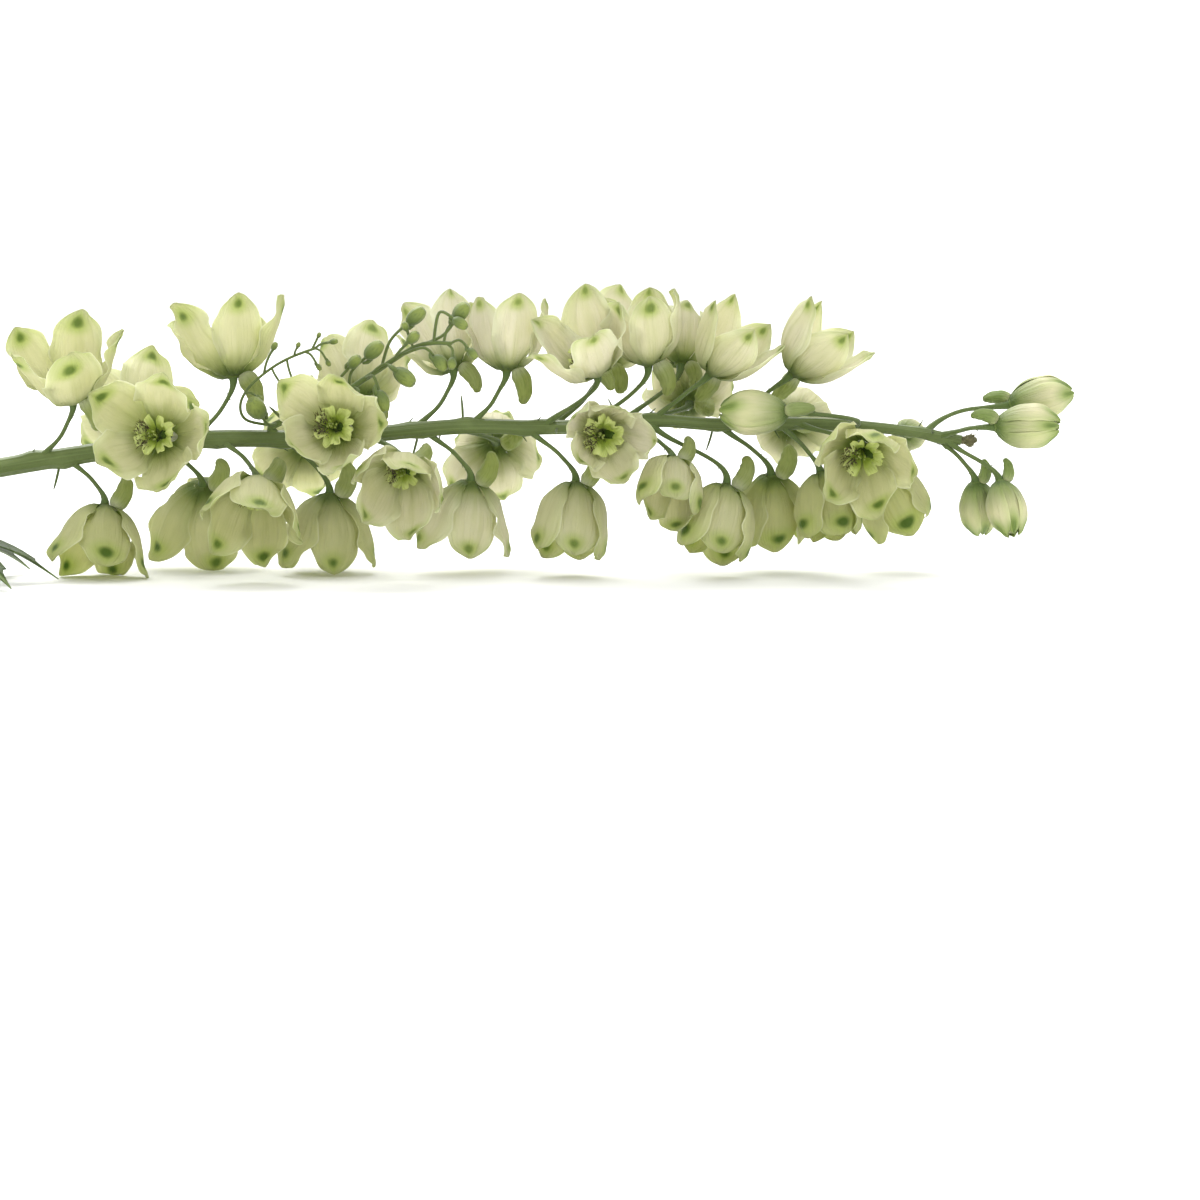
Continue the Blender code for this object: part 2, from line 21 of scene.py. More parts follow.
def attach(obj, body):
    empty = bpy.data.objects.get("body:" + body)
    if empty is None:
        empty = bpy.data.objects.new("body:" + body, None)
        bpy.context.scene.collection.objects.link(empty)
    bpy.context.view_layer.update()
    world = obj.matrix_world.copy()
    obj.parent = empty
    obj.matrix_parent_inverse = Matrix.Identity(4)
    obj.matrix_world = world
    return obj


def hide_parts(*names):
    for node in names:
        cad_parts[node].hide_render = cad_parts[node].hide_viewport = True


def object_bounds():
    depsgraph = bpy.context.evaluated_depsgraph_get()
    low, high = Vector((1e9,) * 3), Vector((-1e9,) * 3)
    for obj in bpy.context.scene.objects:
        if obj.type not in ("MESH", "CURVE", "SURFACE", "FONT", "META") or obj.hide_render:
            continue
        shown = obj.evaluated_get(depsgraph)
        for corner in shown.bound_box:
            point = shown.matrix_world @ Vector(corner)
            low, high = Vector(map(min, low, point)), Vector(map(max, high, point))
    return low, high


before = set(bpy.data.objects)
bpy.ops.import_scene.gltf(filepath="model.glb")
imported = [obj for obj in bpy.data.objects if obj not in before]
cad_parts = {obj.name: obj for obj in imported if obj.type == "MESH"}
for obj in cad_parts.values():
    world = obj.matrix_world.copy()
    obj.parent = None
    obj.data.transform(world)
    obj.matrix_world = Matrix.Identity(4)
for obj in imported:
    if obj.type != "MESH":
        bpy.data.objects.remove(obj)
SOLID_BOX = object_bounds()
LOG = logging.getLogger("delphinium")

MM = 0.001
BASE_MIDDLE = Vector((-106.4, 5.3, 0.08))
HOME = Matrix.Scale(MM, 4) @ Matrix.Translation(-BASE_MIDDLE)
MELT = 0.002  # points nearer than this are one
SHARP = 75.0  # degrees between two faces from which their edge isn't smoothed
UP = Vector((0.0, 0.0, 1.0))
TIPWARD = Vector((1.0, 0.0, 0.0))

Colour = tuple[float, float, float, float]
Surface = Callable[[float, float], Vector]
Profile = Callable[[float, float], float]


class Draws(Enum):
    """Where the random numbers of each kind of part begin."""

    BLOOM = 0
    TIP = 7
    BUD = 100
    EYE = 200
    PEDICEL = 300
    BRACT = 400
    SPUR = 500
    SMALL_BUD = 600

    def of(self, number: int = 0) -> random.Random:
        """The random numbers of one part, the same each time."""
        return random.Random(self.value + number)


class Tone(float, Enum):
    """What the points of a part carry, by which its finish tells it from the others."""

    STEM = 0.0
    SPUR = 0.0
    LEAF = 0.0
    FILAMENT = 0.2
    TWIG = 0.4
    YOUNG = 0.5
    KNOB = 0.5
    PEDICEL = 0.6
    LEAF_STALK = 0.6
    ANTHER = 0.8
    THROAT_SHADE = 1.0
    SMALL_BUD = 1.0


# Small sums


def lerp(start: float, end: float, share: float) -> float:
    """A value between two others."""
    return start + (end - start) * share


def between(shares: Sequence[float], values: Sequence[float], share: float) -> float:
    """Read a value from a short list by straight lines.

    Args:
        shares: where the values stand, rising.
        values: a value for each of them.
        share: where to read.

    Returns:
        The value there.
    """
    for low in range(len(shares) - 1):
        if share <= shares[low + 1]:
            part = (share - shares[low]) / (shares[low + 1] - shares[low])
            return values[low] + (values[low + 1] - values[low]) * part
    return values[-1]


def hump(value: float, middle: float, width: float) -> float:
    """A bell of height 1 round a middle."""
    return math.exp(-(((value - middle) / width) ** 2))


def paint(red: float, green: float, blue: float) -> Colour:
    """Turn a screen's colour, in values of 0 to 255, into a socket's.

    Args:
        red: its red.
        green: its green.
        blue: its blue.

    Returns:
        The colour in linear light.
    """

    def linear(value: float) -> float:
        """One channel in linear light."""
        value /= 255
        return value / 12.92 if value <= 0.04045 else ((value + 0.055) / 1.055) ** 2.4

    return (linear(red), linear(green), linear(blue), 1.0)


def ripple(spot: Vector, scale: float, seed: float) -> float:
    """A smooth random value of about -1 to 1 at a point, the same each time."""
    return noise.noise(spot * scale + Vector((seed, seed * 0.7, -seed)))


def smooth_line(points: Sequence[Vector], steps: int) -> list[Vector]:
    """A smooth curve through points.

    Args:
        points: the points that it passes.
        steps: how many pieces it is cut into from one point to the next.

    Returns:
        The points of the curve.
    """
    line = []
    last = len(points) - 1
    for low in range(last):
        start, end = points[low], points[low + 1]
        leave = (end - points[max(low - 1, 0)]) * 0.5
        arrive = (points[min(low + 2, last)] - start) * 0.5
        for step in range(steps):
            t = step / steps
            spot = start * (2 * t**3 - 3 * t**2 + 1) + leave * (t**3 - 2 * t**2 + t)
            line.append(spot + end * (3 * t**2 - 2 * t**3) + arrive * (t**3 - t**2))
    line.append(points[-1].copy())
    return line


def read_line(line: Sequence[Vector], share: float) -> Vector:
    """Read the point at a share of a line's points.

    Args:
        line: the points.
        share: how far along them, from 0 to 1.

    Returns:
        The point there.
    """
    place = min(max(share, 0.0), 1.0) * (len(line) - 1)
    low = min(int(place), len(line) - 2)
    return line[low].lerp(line[low + 1], place - low)


def carried_sides(middles: Sequence[Vector]) -> list[tuple[Vector, Vector]]:
    """Two directions square to a line at each of its points, without twist.

    Args:
        middles: the points of the line. Two that are one count as the same place.

    Returns:
        The two directions at each point.
    """
    headings: list[Vector] = []
    for number in range(len(middles)):
        ahead = middles[min(number + 1, len(middles) - 1)] - middles[max(number - 1, 0)]
        headings.append(ahead.normalized() if ahead.length > MELT else Vector())
    known = next(heading for heading in headings if heading.length > 0.5)
    side = known.orthogonal().normalized()
    sides = []
    for heading in headings:
        if heading.length > 0.5:
            side.rotate(known.rotation_difference(heading))
            known = heading
        side = (side - known * side.dot(known)).normalized()
        sides.append((side.copy(), known.cross(side)))
    return sides


# The mesh in the making


class Growth:
    """A mesh in millimetres whose points keep how far along and across their blade they grew."""

    MARK = "growth"

    def __init__(self) -> None:
        """Start with an empty mesh."""
        self.shape = bmesh.new()
        self.mark = self.shape.verts.layers.float_vector.new(self.MARK)

    def _close(self, verts: list[bmesh.types.BMVert]) -> None:
        """Merge the points of one closed skin where its edges meet."""
        bmesh.ops.remove_doubles(self.shape, verts=verts, dist=MELT)

    def blade(
        self, columns: int, rows: int, surface: Surface, half: Profile, tone: float = 0.0
    ) -> None:
        """Add a closed thin blade: a grid folded in two at its right edge, thick in the middle.

        Args:
            columns: faces across it.
            rows: faces along it.
            surface: the point on its middle surface, from the shares along and across (-1 to 1).
            half: half its thickness, from the same two.
            tone: a value for its material to read.
        """
        alongs = [math.sin(math.pi / 2 * row / rows) for row in range(rows + 1)]
        acrosses = [math.sin(math.pi * (column / columns - 0.5)) for column in range(columns + 1)]
        middles = np.array([[surface(a, c) for c in acrosses] for a in alongs])
        square = np.cross(np.gradient(middles, axis=0), np.gradient(middles, axis=1))
        length = np.linalg.norm(square, axis=2, keepdims=True)
        square = square / np.maximum(length, 1e-9)
        square[-1] = square[-2]
        made = bmesh.ops.create_grid(
            self.shape, x_segments=2 * columns, y_segments=rows, size=0.5
        )["verts"]
        for vert in made:
            turn = round((vert.co.x + 0.5) * 2 * columns)
            row = round((vert.co.y + 0.5) * rows)
            column = turn if turn <= columns else 2 * columns - turn
            face = 1.0 if turn <= columns else -1.0
            along, across = alongs[row], acrosses[column]
            depth = 0.0 if column in (0, columns) or row in (0, rows) else half(along, across)
            vert[self.mark] = (along, across, tone)
            vert.co = middles[row][column] + square[row][column] * (face * depth)
            vert.co.z = max(vert.co.z, BASE_MIDDLE.z)
        self._close(made)

    def tube(
        self,
        middles: Sequence[Vector],
        radii: Sequence[float],
        sides: int,
        tone: float = 0.0,
        span: tuple[float, float] = (0.0, 1.0),
        swell: Profile | None = None,
    ) -> None:
        """Add a closed tube. Its ends are closed where its first and last radius is 0.

        Args:
            middles: the points of its line.
            radii: its radius at each of them.
            sides: how many faces go round it.
            tone: a value for its material to read.
            span: the shares along that its two ends are marked with.
            swell: a factor of its radius, from the row and the turn round it.
        """
        rows = len(middles) - 1
        frames = carried_sides(middles)
        made = bmesh.ops.create_grid(self.shape, x_segments=sides, y_segments=rows, size=0.5)[
            "verts"
        ]
        for vert in made:
            row = round((vert.co.y + 0.5) * rows)
            turn = 2 * math.pi * (round((vert.co.x + 0.5) * sides) % sides) / sides
            side, up = frames[row]
            radius = radii[row] * (swell(row, turn) if swell else 1.0)
            vert[self.mark] = (
                lerp(span[0], span[1], row / rows),
                abs(1 - turn / math.pi),
                tone,
            )
            vert.co = middles[row] + (side * math.cos(turn) + up * math.sin(turn)) * radius
        self._close(made)

    def rounded_tube(
        self,
        middles: Sequence[Vector],
        radii: Sequence[float],
        sides: int,
        tone: float = 0.0,
        span: tuple[float, float] = (0.0, 1.0),
        swell: Profile | None = None,
    ) -> None:
        """Add a closed tube with round ends.

        Args:
            middles: the points of its line, without the round ends.
            radii: its radius at each of them.
            sides: how many faces go round it.
            tone: a value for its material to read.
            span: the shares along that its two ends are marked with.
            swell: a factor of its radius, from the row and the turn round it.
        """
        first, last = middles[0], middles[-1]
        back = (middles[0] - middles[1]).normalized()
        ahead = (middles[-1] - middles[-2]).normalized()
        line, widths = list(middles), list(radii)
        for angle in (35.0, 65.0, 90.0):
            turn = math.radians(angle)
            line.insert(0, first + back * (radii[0] * math.sin(turn)))
            widths.insert(0, radii[0] * max(math.cos(turn), 0.0) if angle < 90 else 0.0)
            line.append(last + ahead * (radii[-1] * math.sin(turn)))
            widths.append(radii[-1] * math.cos(turn) if angle < 90 else 0.0)
        self.tube(line, widths, sides, tone, span, swell)

    def finish(self, name: str, material: bpy.types.Material) -> bpy.types.Object:
        """Turn the mesh into an object in the frame's metres.

        Args:
            name: the piece's name.
            material: its finish.

        Returns:
            The new object.
        """
        bmesh.ops.recalc_face_normals(self.shape, faces=self.shape.faces)
        self.shape.transform(HOME)
        lowest, highest = Vector(SOLID_BOX[0]), Vector(SOLID_BOX[1])
        for vert in self.shape.verts:
            for axis in range(3):
                vert.co[axis] = min(max(vert.co[axis], lowest[axis]), highest[axis])
        mesh = bpy.data.meshes.new(name)
        self.shape.to_mesh(mesh)
        self.shape.free()
        mesh.shade_smooth()
        mesh.set_sharp_from_angle(angle=math.radians(SHARP))
        mesh.materials.append(material)
        piece = bpy.data.objects.new(name, mesh)
        bpy.context.scene.collection.objects.link(piece)
        return piece


def settle(spot: Vector) -> Vector:
    """Press a point of a blade softly onto the surface instead of through it.

    Args:
        spot: the point, which moves.

    Returns:
        The same point.
    """
    clearance, softness = 0.4, 0.45
    over = (spot.z - clearance) / softness
    if over < 12:
        spot.z = clearance + softness * math.log1p(math.exp(over))
    return spot


# Materials


Source = float | Colour | bpy.types.NodeSocket


class Recipe:
    """Adds nodes to a node tree and joins them."""

    def __init__(self, tree: bpy.types.NodeTree) -> None:
        """Work on a tree."""
        self.tree = tree

    def add(
        self, kind: str, sources: dict[str | int, Source] | None = None, **settings: object
    ) -> bpy.types.Node:
        """Add a node.

        Args:
            kind: its type.
            sources: for each input, a value or the socket that feeds it.
            settings: its own properties.

        Returns:
            The node.
        """
        node = self.tree.nodes.new(kind)
        for name, value in settings.items():
            setattr(node, name, value)
        for key, source in (sources or {}).items():
            if isinstance(source, bpy.types.NodeSocket):
                self.tree.links.new(source, node.inputs[key])
            else:
                node.inputs[key].default_value = source
        return node

    def sum(self, operation: str, *sources: Source) -> bpy.types.NodeSocket:
        """The output of a Math node on these sources."""
        return self.add("ShaderNodeMath", dict(enumerate(sources)), operation=operation).outputs[0]

    def times(self, first: Source, second: Source) -> bpy.types.NodeSocket:
        """The product of two sources."""
        return self.sum("MULTIPLY", first, second)

    def line(self, value: Source, slope: Source, start: Source) -> bpy.types.NodeSocket:
        """A value times a slope, plus a start."""
        return self.sum("MULTIPLY_ADD", value, slope, start)

    def rise(self, value: Source, low: Source, high: Source) -> bpy.types.NodeSocket:
        """Add a mask that rises smoothly from 0 to 1.

        Args:
            value: what it reads.
            low: where it is 0.
            high: where it is 1.

        Returns:
            The mask.
        """
        sources = {"Value": value, "From Min": low, "From Max": high}
        node = self.add("ShaderNodeMapRange", sources, interpolation_type="SMOOTHSTEP")
        return node.outputs["Result"]

    def mix(self, share: Source, first: Source, second: Source) -> bpy.types.NodeSocket:
        """A colour between two others."""
        node = self.add("ShaderNodeMix", {0: share, 6: first, 7: second}, data_type="RGBA")
        return node.outputs[2]

    def tint(
        self, colour: Source, other: Source, mask: Source, share: Source
    ) -> bpy.types.NodeSocket:
        """A colour with a share of another laid over it where a mask is 1."""
        return self.mix(self.times(mask, share), colour, other)


def new_group(name: str, inputs: dict[str, float], outputs: Sequence[str]) -> bpy.types.NodeTree:
    """Make an empty node group with float sockets.

    Args:
        name: its name.
        inputs: its inputs, with the value of each.
        outputs: its outputs.

    Returns:
        The group's tree.
    """
    tree = bpy.data.node_groups.new(name, "ShaderNodeTree")
    for label, value in inputs.items():
        socket = tree.interface.new_socket(
            name=label, in_out="INPUT", socket_type="NodeSocketFloat"
        )
        socket.default_value = value
    for label in outputs:
        tree.interface.new_socket(name=label, in_out="OUTPUT", socket_type="NodeSocketFloat")
    return tree


def vein_group() -> bpy.types.NodeTree:
    """Make the group for fine veins that run along a blade and wander a little.

    Returns:
        The group, with a mask of the veins and their height.
    """
    inputs = {"Along": 0.0, "Across": 0.0, "Tone": 0.0, "Count": 20.0, "Reach": 2.5}
    tree = new_group("fine veins", inputs, ("Mask", "Height"))
    make = Recipe(tree)
    given = make.add("NodeGroupInput").outputs
    wide = make.times(given["Across"], given["Count"])
    long = make.times(given["Along"], given["Reach"])
    apart = make.times(given["Tone"], 41.0)
    where = make.add("ShaderNodeCombineXYZ", {0: wide, 1: long, 2: apart}).outputs[0]
    grain = make.add(
        "ShaderNodeTexNoise", {"Vector": where, "Scale": 1.0, "Detail": 2.0, "Roughness": 0.55}
    )
    mask = make.rise(grain.outputs[0], 0.5, 0.68)
    end = make.add("NodeGroupOutput")
    tree.links.new(mask, end.inputs["Mask"])
    tree.links.new(grain.outputs[0], end.inputs["Height"])
    return tree


def mottle_group() -> bpy.types.NodeTree:
    """Make the group for soft blotches and fine cells, on the piece's own coordinates.

    Returns:
        The group, with the blotches and the cells.
    """
    tree = new_group("soft mottle", {"Size": 60.0, "Cells": 900.0}, ("Blotch", "Cell"))
    make = Recipe(tree)
    given = make.add("NodeGroupInput").outputs
    spot = make.add("ShaderNodeTexCoord").outputs["Object"]
    end = make.add("NodeGroupOutput")
    kinds = (("Size", 3.0, 0.5, "Blotch"), ("Cells", 2.0, 0.6, "Cell"))
    for size, detail, roughness, label in kinds:
        sources = {"Vector": spot, "Scale": given[size], "Detail": detail, "Roughness": roughness}
        grain = make.add("ShaderNodeTexNoise", sources)
        tree.links.new(grain.outputs[0], end.inputs[label])
    return tree


class Surfaces:
    """The node groups that the finishes share, each built once."""

    def __init__(self) -> None:
        """Build them."""
        self.veins = vein_group()
        self.mottle = mottle_group()


@dataclass
class Start:
    """A new material with what every finish reads first."""

    material: bpy.types.Material
    make: Recipe
    surfaces: Surfaces
    along: bpy.types.NodeSocket
    across: bpy.types.NodeSocket
    tone: bpy.types.NodeSocket
    blotch: bpy.types.NodeSocket
    cell: bpy.types.NodeSocket

    @classmethod
    def named(cls, name: str, surfaces: Surfaces, size: float = 60.0) -> "Start":
        """Begin a material.

        Args:
            name: its name.
            surfaces: the shared node groups.
            size: how fine its blotches are.

        Returns:
            The material and its first sockets.
        """
        material = bpy.data.materials.new(name)
        material.use_nodes = True
        material.node_tree.nodes.clear()
        make = Recipe(material.node_tree)
        grown = make.add("ShaderNodeAttribute", attribute_name=Growth.MARK).outputs["Vector"]
        marks = make.add("ShaderNodeSeparateXYZ", {0: grown}).outputs
        mottle = make.add("ShaderNodeGroup", node_tree=surfaces.mottle)
        mottle.inputs["Size"].default_value = size
        return cls(
            material, make, surfaces, *marks, mottle.outputs["Blotch"], mottle.outputs["Cell"]
        )

    def veins(self, **shape: float) -> bpy.types.bpy_prop_collection:
        """Add the fine veins.

        Args:
            shape: the group's Count and Reach, where they aren't its own.

        Returns:
            The group's outputs, Mask and Height.
        """
        sources = {"Along": self.along, "Across": self.across, "Tone": self.tone} | shape
        return self.make.add(
            "ShaderNodeGroup", sources, node_tree=self.surfaces.veins
        ).outputs

    def close(
        self, colour: Source, rough: Source, height: Source, depth: float, glow: float, sheen: float
    ) -> bpy.types.Material:
        """Join the shaders to the output.

        Args:
            colour: the base colour.
            rough: the roughness.
            height: what the bump reads.
            depth: the bump's depth in metres.
            glow: the share of the light that goes through.
            sheen: the weight of the soft sheen.

        Returns:
            The finished material.
        """
        make = self.make
        bump = make.add("ShaderNodeBump", {"Height": height, "Distance": depth, "Strength": 1.0})
        normal = bump.outputs[0]
        shader = make.add(
            "ShaderNodeBsdfPrincipled",
            {"Base Color": colour, "Roughness": rough, "Normal": normal},
        )
        shader.inputs["Sheen Weight"].default_value = sheen
        shader.inputs["Specular IOR Level"].default_value = 0.35
        surface = shader.outputs[0]
        if glow:
            passed = make.add(
                "ShaderNodeHueSaturation", {"Saturation": 0.85, "Value": 1.05, "Color": colour}
            ).outputs[0]
            through = make.add("ShaderNodeBsdfTranslucent", {"Color": passed, "Normal": normal})
            surface = make.add(
                "ShaderNodeMixShader", {0: glow, 1: surface, 2: through.outputs[0]}
            ).outputs[0]
        make.add("ShaderNodeOutputMaterial", {"Surface": surface})
        return self.material


@dataclass(frozen=True)
class PetalFinish:
    """Thin creamy sepals, green at the claw and with a dark green point near the tip."""

    name: str
    heart: Colour
    margin: Colour
    claw: Colour
    vein: Colour
    halo: Colour
    point: Colour
    spur: Colour
    young: Colour
    glow: float
    claw_reach: float
    halo_reach: float
    # the share of painted crease shade laid along the soft folds
    folds: float
    tip: float

    def off_point(self, start: Start) -> bpy.types.NodeSocket:
        """How far a spot lies off the middle of its sepal's green point.

        Args:
            start: the material's first sockets.

        Returns:
            The distance, about 1 at the end of the halo round the point.
        """
        make, tone = start.make, start.tone
        lot = make.sum("FRACT", make.times(tone, 37.0))
        other = make.sum("FRACT", make.times(tone, 91.0))
        place = make.line(lot, 0.07, make.line(tone, -0.18, 0.9))
        up = make.sum("DIVIDE", make.sum("SUBTRACT", start.along, place), self.halo_reach)
        aside = make.line(other, 0.4, -0.2)
        side = make.sum("SUBTRACT", make.times(start.across, 1.3), aside)
        side = make.sum("DIVIDE", side, 0.8)
        far = make.sum("SQRT", make.line(up, up, make.times(side, side)))
        far = make.sum("DIVIDE", far, make.line(tone, 0.9, 0.85))
        return make.sum("ADD", far, make.line(start.blotch, 0.5, -0.25))

    def build(self, surfaces: Surfaces) -> bpy.types.Material:
        """Make the material.

        Args:
            surfaces: the shared node groups.

        Returns:
            The finished material.
        """
        start = Start.named(self.name, surfaces)
        make, along, tone = start.make, start.along, start.tone
        edge = make.sum("ABSOLUTE", start.across)
        veins = start.veins(Count=13.0)
        folds = start.veins(Count=4.2, Reach=0.7)
        colour = make.mix(make.rise(edge, 0.4, 1.0), self.heart, self.margin)
        # mixing in the young green by tone: the sepal's own colour, and on flowers under the axis
        # also painted shade
        colour = make.mix(tone, colour, self.young)
        colour = make.tint(colour, self.young, make.rise(start.blotch, 0.45, 0.75), 0.25)
        fading = make.line(make.rise(along, 1.0, 0.1), 0.2, 0.06)
        colour = make.tint(colour, self.vein, veins["Mask"], fading)
        # darker streaks along the soft folds: painted shade of the creases, while the bump below
        # gives their real relief
        colour = make.tint(colour, self.vein, make.rise(folds["Height"], 0.42, 0.72), self.folds)
        rib = make.times(make.rise(edge, 0.2, 0.0), make.rise(along, 0.95, 0.15))
        colour = make.tint(colour, self.vein, rib, 0.3)
        reach = make.line(start.blotch, 0.25, self.claw_reach)
        colour = make.tint(colour, self.claw, make.rise(along, reach, 0.02), 0.85)
        colour = make.tint(colour, self.point, make.rise(along, 0.2, 0.03), 0.75)
        colour = make.tint(colour, self.halo, make.rise(along, 0.7, 1.0), self.tip)
        far = self.off_point(start)
        colour = make.tint(colour, self.halo, make.rise(far, 1.1, 0.2), 0.75)
        strong = make.line(tone, 0.9, 0.4)
        colour = make.tint(colour, self.point, make.rise(far, 0.5, 0.12), strong)
        tip_edge = make.times(make.rise(edge, 0.6, 1.0), make.rise(along, 0.78, 0.97))
        colour = make.tint(colour, self.halo, tip_edge, 0.4)
        # a thin pale line along the side rims: painted highlight of the thin edges lit from behind
        rim = make.times(make.rise(edge, 0.93, 1.0), make.rise(along, 0.2, 0.5))
        colour = make.tint(colour, self.margin, rim, 0.6)
        spur = make.mix(make.rise(start.blotch, 0.35, 0.85), self.spur, self.claw)
        # darker green streaks on the spur: painted shade of its wrinkles
        spur = make.tint(spur, self.point, veins["Mask"], 0.3)
        spur = make.mix(make.rise(along, -0.55, -0.12), spur, self.margin)
        colour = make.mix(make.rise(along, 0.0, -0.02), colour, spur)
        rough = make.line(start.cell, 0.2, 0.42)
        height = make.line(start.cell, 0.35, veins["Height"])
        height = make.line(folds["Height"], 2.0, height)
        return start.close(colour, rough, height, 0.00035, glow=self.glow, sheen=0.15)


@dataclass(frozen=True)
class FrillFinish:
    """The small inner petals: yellow-green, paler at the ruffled rim, darker towards their base,
    and a dark throat that is painted shade.
    """

    name: str
    deep: Colour
    body: Colour
    rim: Colour

    def build(self, surfaces: Surfaces) -> bpy.types.Material:
        """Make the material.

        Args:
            surfaces: the shared node groups.

        Returns:
            The finished material.
        """
        start = Start.named(self.name, surfaces, 220.0)
        make, along = start.make, start.along
        veins = start.veins(Count=9.0)
        colour = make.mix(make.rise(along, 0.55, 1.0), self.body, self.rim)
        colour = make.tint(colour, self.body, veins["Mask"], 0.35)
        low = make.line(start.blotch, 0.3, 0.3)
        colour = make.mix(make.rise(along, low, 0.0), colour, self.deep)
        # the throat tube is coloured deep all over: painted shade of the spur's open mouth
        colour = make.mix(make.rise(start.tone, 0.9, 0.95), colour, self.deep)  # the throat
        rough = make.line(start.cell, 0.2, 0.45)
        height = make.sum("ADD", veins["Height"], start.blotch)
        return start.close(colour, rough, height, 0.0004, glow=0.45, sheen=0.1)


@dataclass(frozen=True)
class StalkFinish:
    """Green stems with fine grooves, paler on the young stalks, and a pale cut."""

    name: str
    old: Colour
    young: Colour
    pale: Colour
    pith: Colour
    collar: Colour
    bud: Colour
    bud_tip: Colour

    def build(self, surfaces: Surfaces) -> bpy.types.Material:
        """Make the material.

        Args:
            surfaces: the shared node groups.

        Returns:
            The finished material.
        """
        start = Start.named(self.name, surfaces, 90.0)
        make, along, tone = start.make, start.along, start.tone
        veins = start.veins(Count=16.0, Reach=7.0)
        colour = make.mix(make.rise(tone, 0.0, 0.5), self.old, self.young)
        colour = make.tint(colour, self.pale, veins["Mask"], 0.45)
        colour = make.tint(colour, self.pale, make.rise(start.blotch, 0.5, 0.8), 0.5)
        collar = make.times(make.rise(along, 0.78, 0.98), make.rise(tone, 0.54, 0.58))
        colour = make.tint(colour, self.collar, collar, 0.7)
        colour = make.mix(make.rise(along, 0.0, -0.02), colour, self.pith)
        small = make.mix(make.rise(along, 0.25, 0.7), self.young, self.bud)
        small = make.mix(make.rise(along, 0.82, 1.0), small, self.bud_tip)
        small = make.tint(small, self.young, veins["Mask"], 0.6)
        colour = make.mix(make.rise(tone, 0.9, 0.95), colour, small)
        rough = make.line(start.cell, 0.25, 0.4)
        height = make.line(start.cell, 0.5, veins["Height"])
        return start.close(colour, rough, height, 0.00025, glow=0.0, sheen=0.2)


@dataclass(frozen=True)
class LeafFinish:
    """A dark green leaf with paler veins."""

    name: str
    blade: Colour
    light: Colour
    vein: Colour

    def build(self, surfaces: Surfaces) -> bpy.types.Material:
        """Make the material.

        Args:
            surfaces: the shared node groups.

        Returns:
            The finished material.
        """
        start = Start.named(self.name, surfaces, 110.0)
        make = start.make
        colour = make.mix(make.rise(start.blotch, 0.35, 0.75), self.blade, self.light)
        turned = make.line(make.sum("ARCSINE", start.across), 1 / math.pi, 0.5)
        lobe = make.sum("FRACT", make.times(turned, 5.0))
        aside = make.sum("ABSOLUTE", make.sum("SUBTRACT", lobe, 0.5))
        phase = make.line(start.along, 60.0, make.times(aside, -42.0))
        side = make.times(make.rise(make.sum("SINE", phase), 0.8, 1.0), 0.5)
        veins = make.sum("MAXIMUM", make.rise(aside, 0.06, 0.01), side)
        colour = make.tint(colour, self.vein, veins, 0.75)
        rough = make.line(start.cell, 0.25, 0.38)
        height = make.line(veins, -1.5, start.blotch)
        return start.close(colour, rough, height, 0.0006, glow=0.12, sheen=0.1)


@dataclass(frozen=True)
class DriedFinish:
    """Brown withered parts and hairs."""

    name: str
    dark: Colour
    light: Colour

    def build(self, surfaces: Surfaces) -> bpy.types.Material:
        """Make the material.

        Args:
            surfaces: the shared node groups.

        Returns:
            The finished material.
        """
        start = Start.named(self.name, surfaces, 500.0)
        make = start.make
        colour = make.mix(make.rise(start.blotch, 0.35, 0.65), self.dark, self.light)
        colour = make.mix(make.rise(start.tone, 0.4, 0.6), colour, self.light)
        rough = make.line(start.cell, 0.2, 0.6)
        return start.close(colour, rough, start.blotch, 0.0003, glow=0.0, sheen=0.0)


# The plan of the spike


@dataclass(frozen=True)
class Axis:
    """The main stem, on a smooth curve through its points."""

    points: tuple[Vector, ...]
    cut_radius: float = 4.0
    tip_radius: float = 1.7

    def middle(self, x: float) -> Vector:
        """Find the middle of the stem.

        Args:
            x: where along it.

        Returns:
            The point on its curve.
        """
        points = self.points
        x = min(max(x, points[0].x), points[-1].x)
        last = len(points) - 1
        low = next(k for k in range(last) if x <= points[k + 1].x)
        start, end = points[low], points[low + 1]
        before, after = points[max(low - 1, 0)], points[min(low + 2, last)]
        span = end.x - start.x
        leave = (end - before) / (end.x - before.x) * span
        arrive = (after - start) / (after.x - start.x) * span
        t = (x - start.x) / span
        spot = start * (2 * t**3 - 3 * t**2 + 1) + leave * (t**3 - 2 * t**2 + t)
        spot += end * (3 * t**2 - 2 * t**3) + arrive * (t**3 - t**2)
        spot.x = x
        return spot

    def radius(self, x: float) -> float:
        """The stem's radius, slimmer towards the tip."""
        share = (x - self.points[0].x) / (self.points[-1].x - self.points[0].x)
        return lerp(self.cut_radius, self.tip_radius, share)


AXIS = Axis(
    tuple(
        Vector(point)
        for point in (
            (-370, 0.0, 4.6),
            (-300, 1.5, 16.0),
            (-210, 1.0, 34.0),
            (-135, -0.5, 45.0),
            (-90, 0.5, 45.7),
            (-47, 0.0, 49.5),
            (-13, 0.6, 49.3),
            (17, -0.4, 51.6),
            (38, 0.4, 50.3),
            (72, -0.3, 50.6),
            (100, 0.4, 48.3),
            (120, 0.0, 45.0),
        )
    )
)


def outward(around: float) -> Vector:
    """The way out from the axis at an angle from straight up, in degrees, towards the front."""
    turn = math.radians(around)
    return Vector((0, -math.sin(turn), math.cos(turn)))


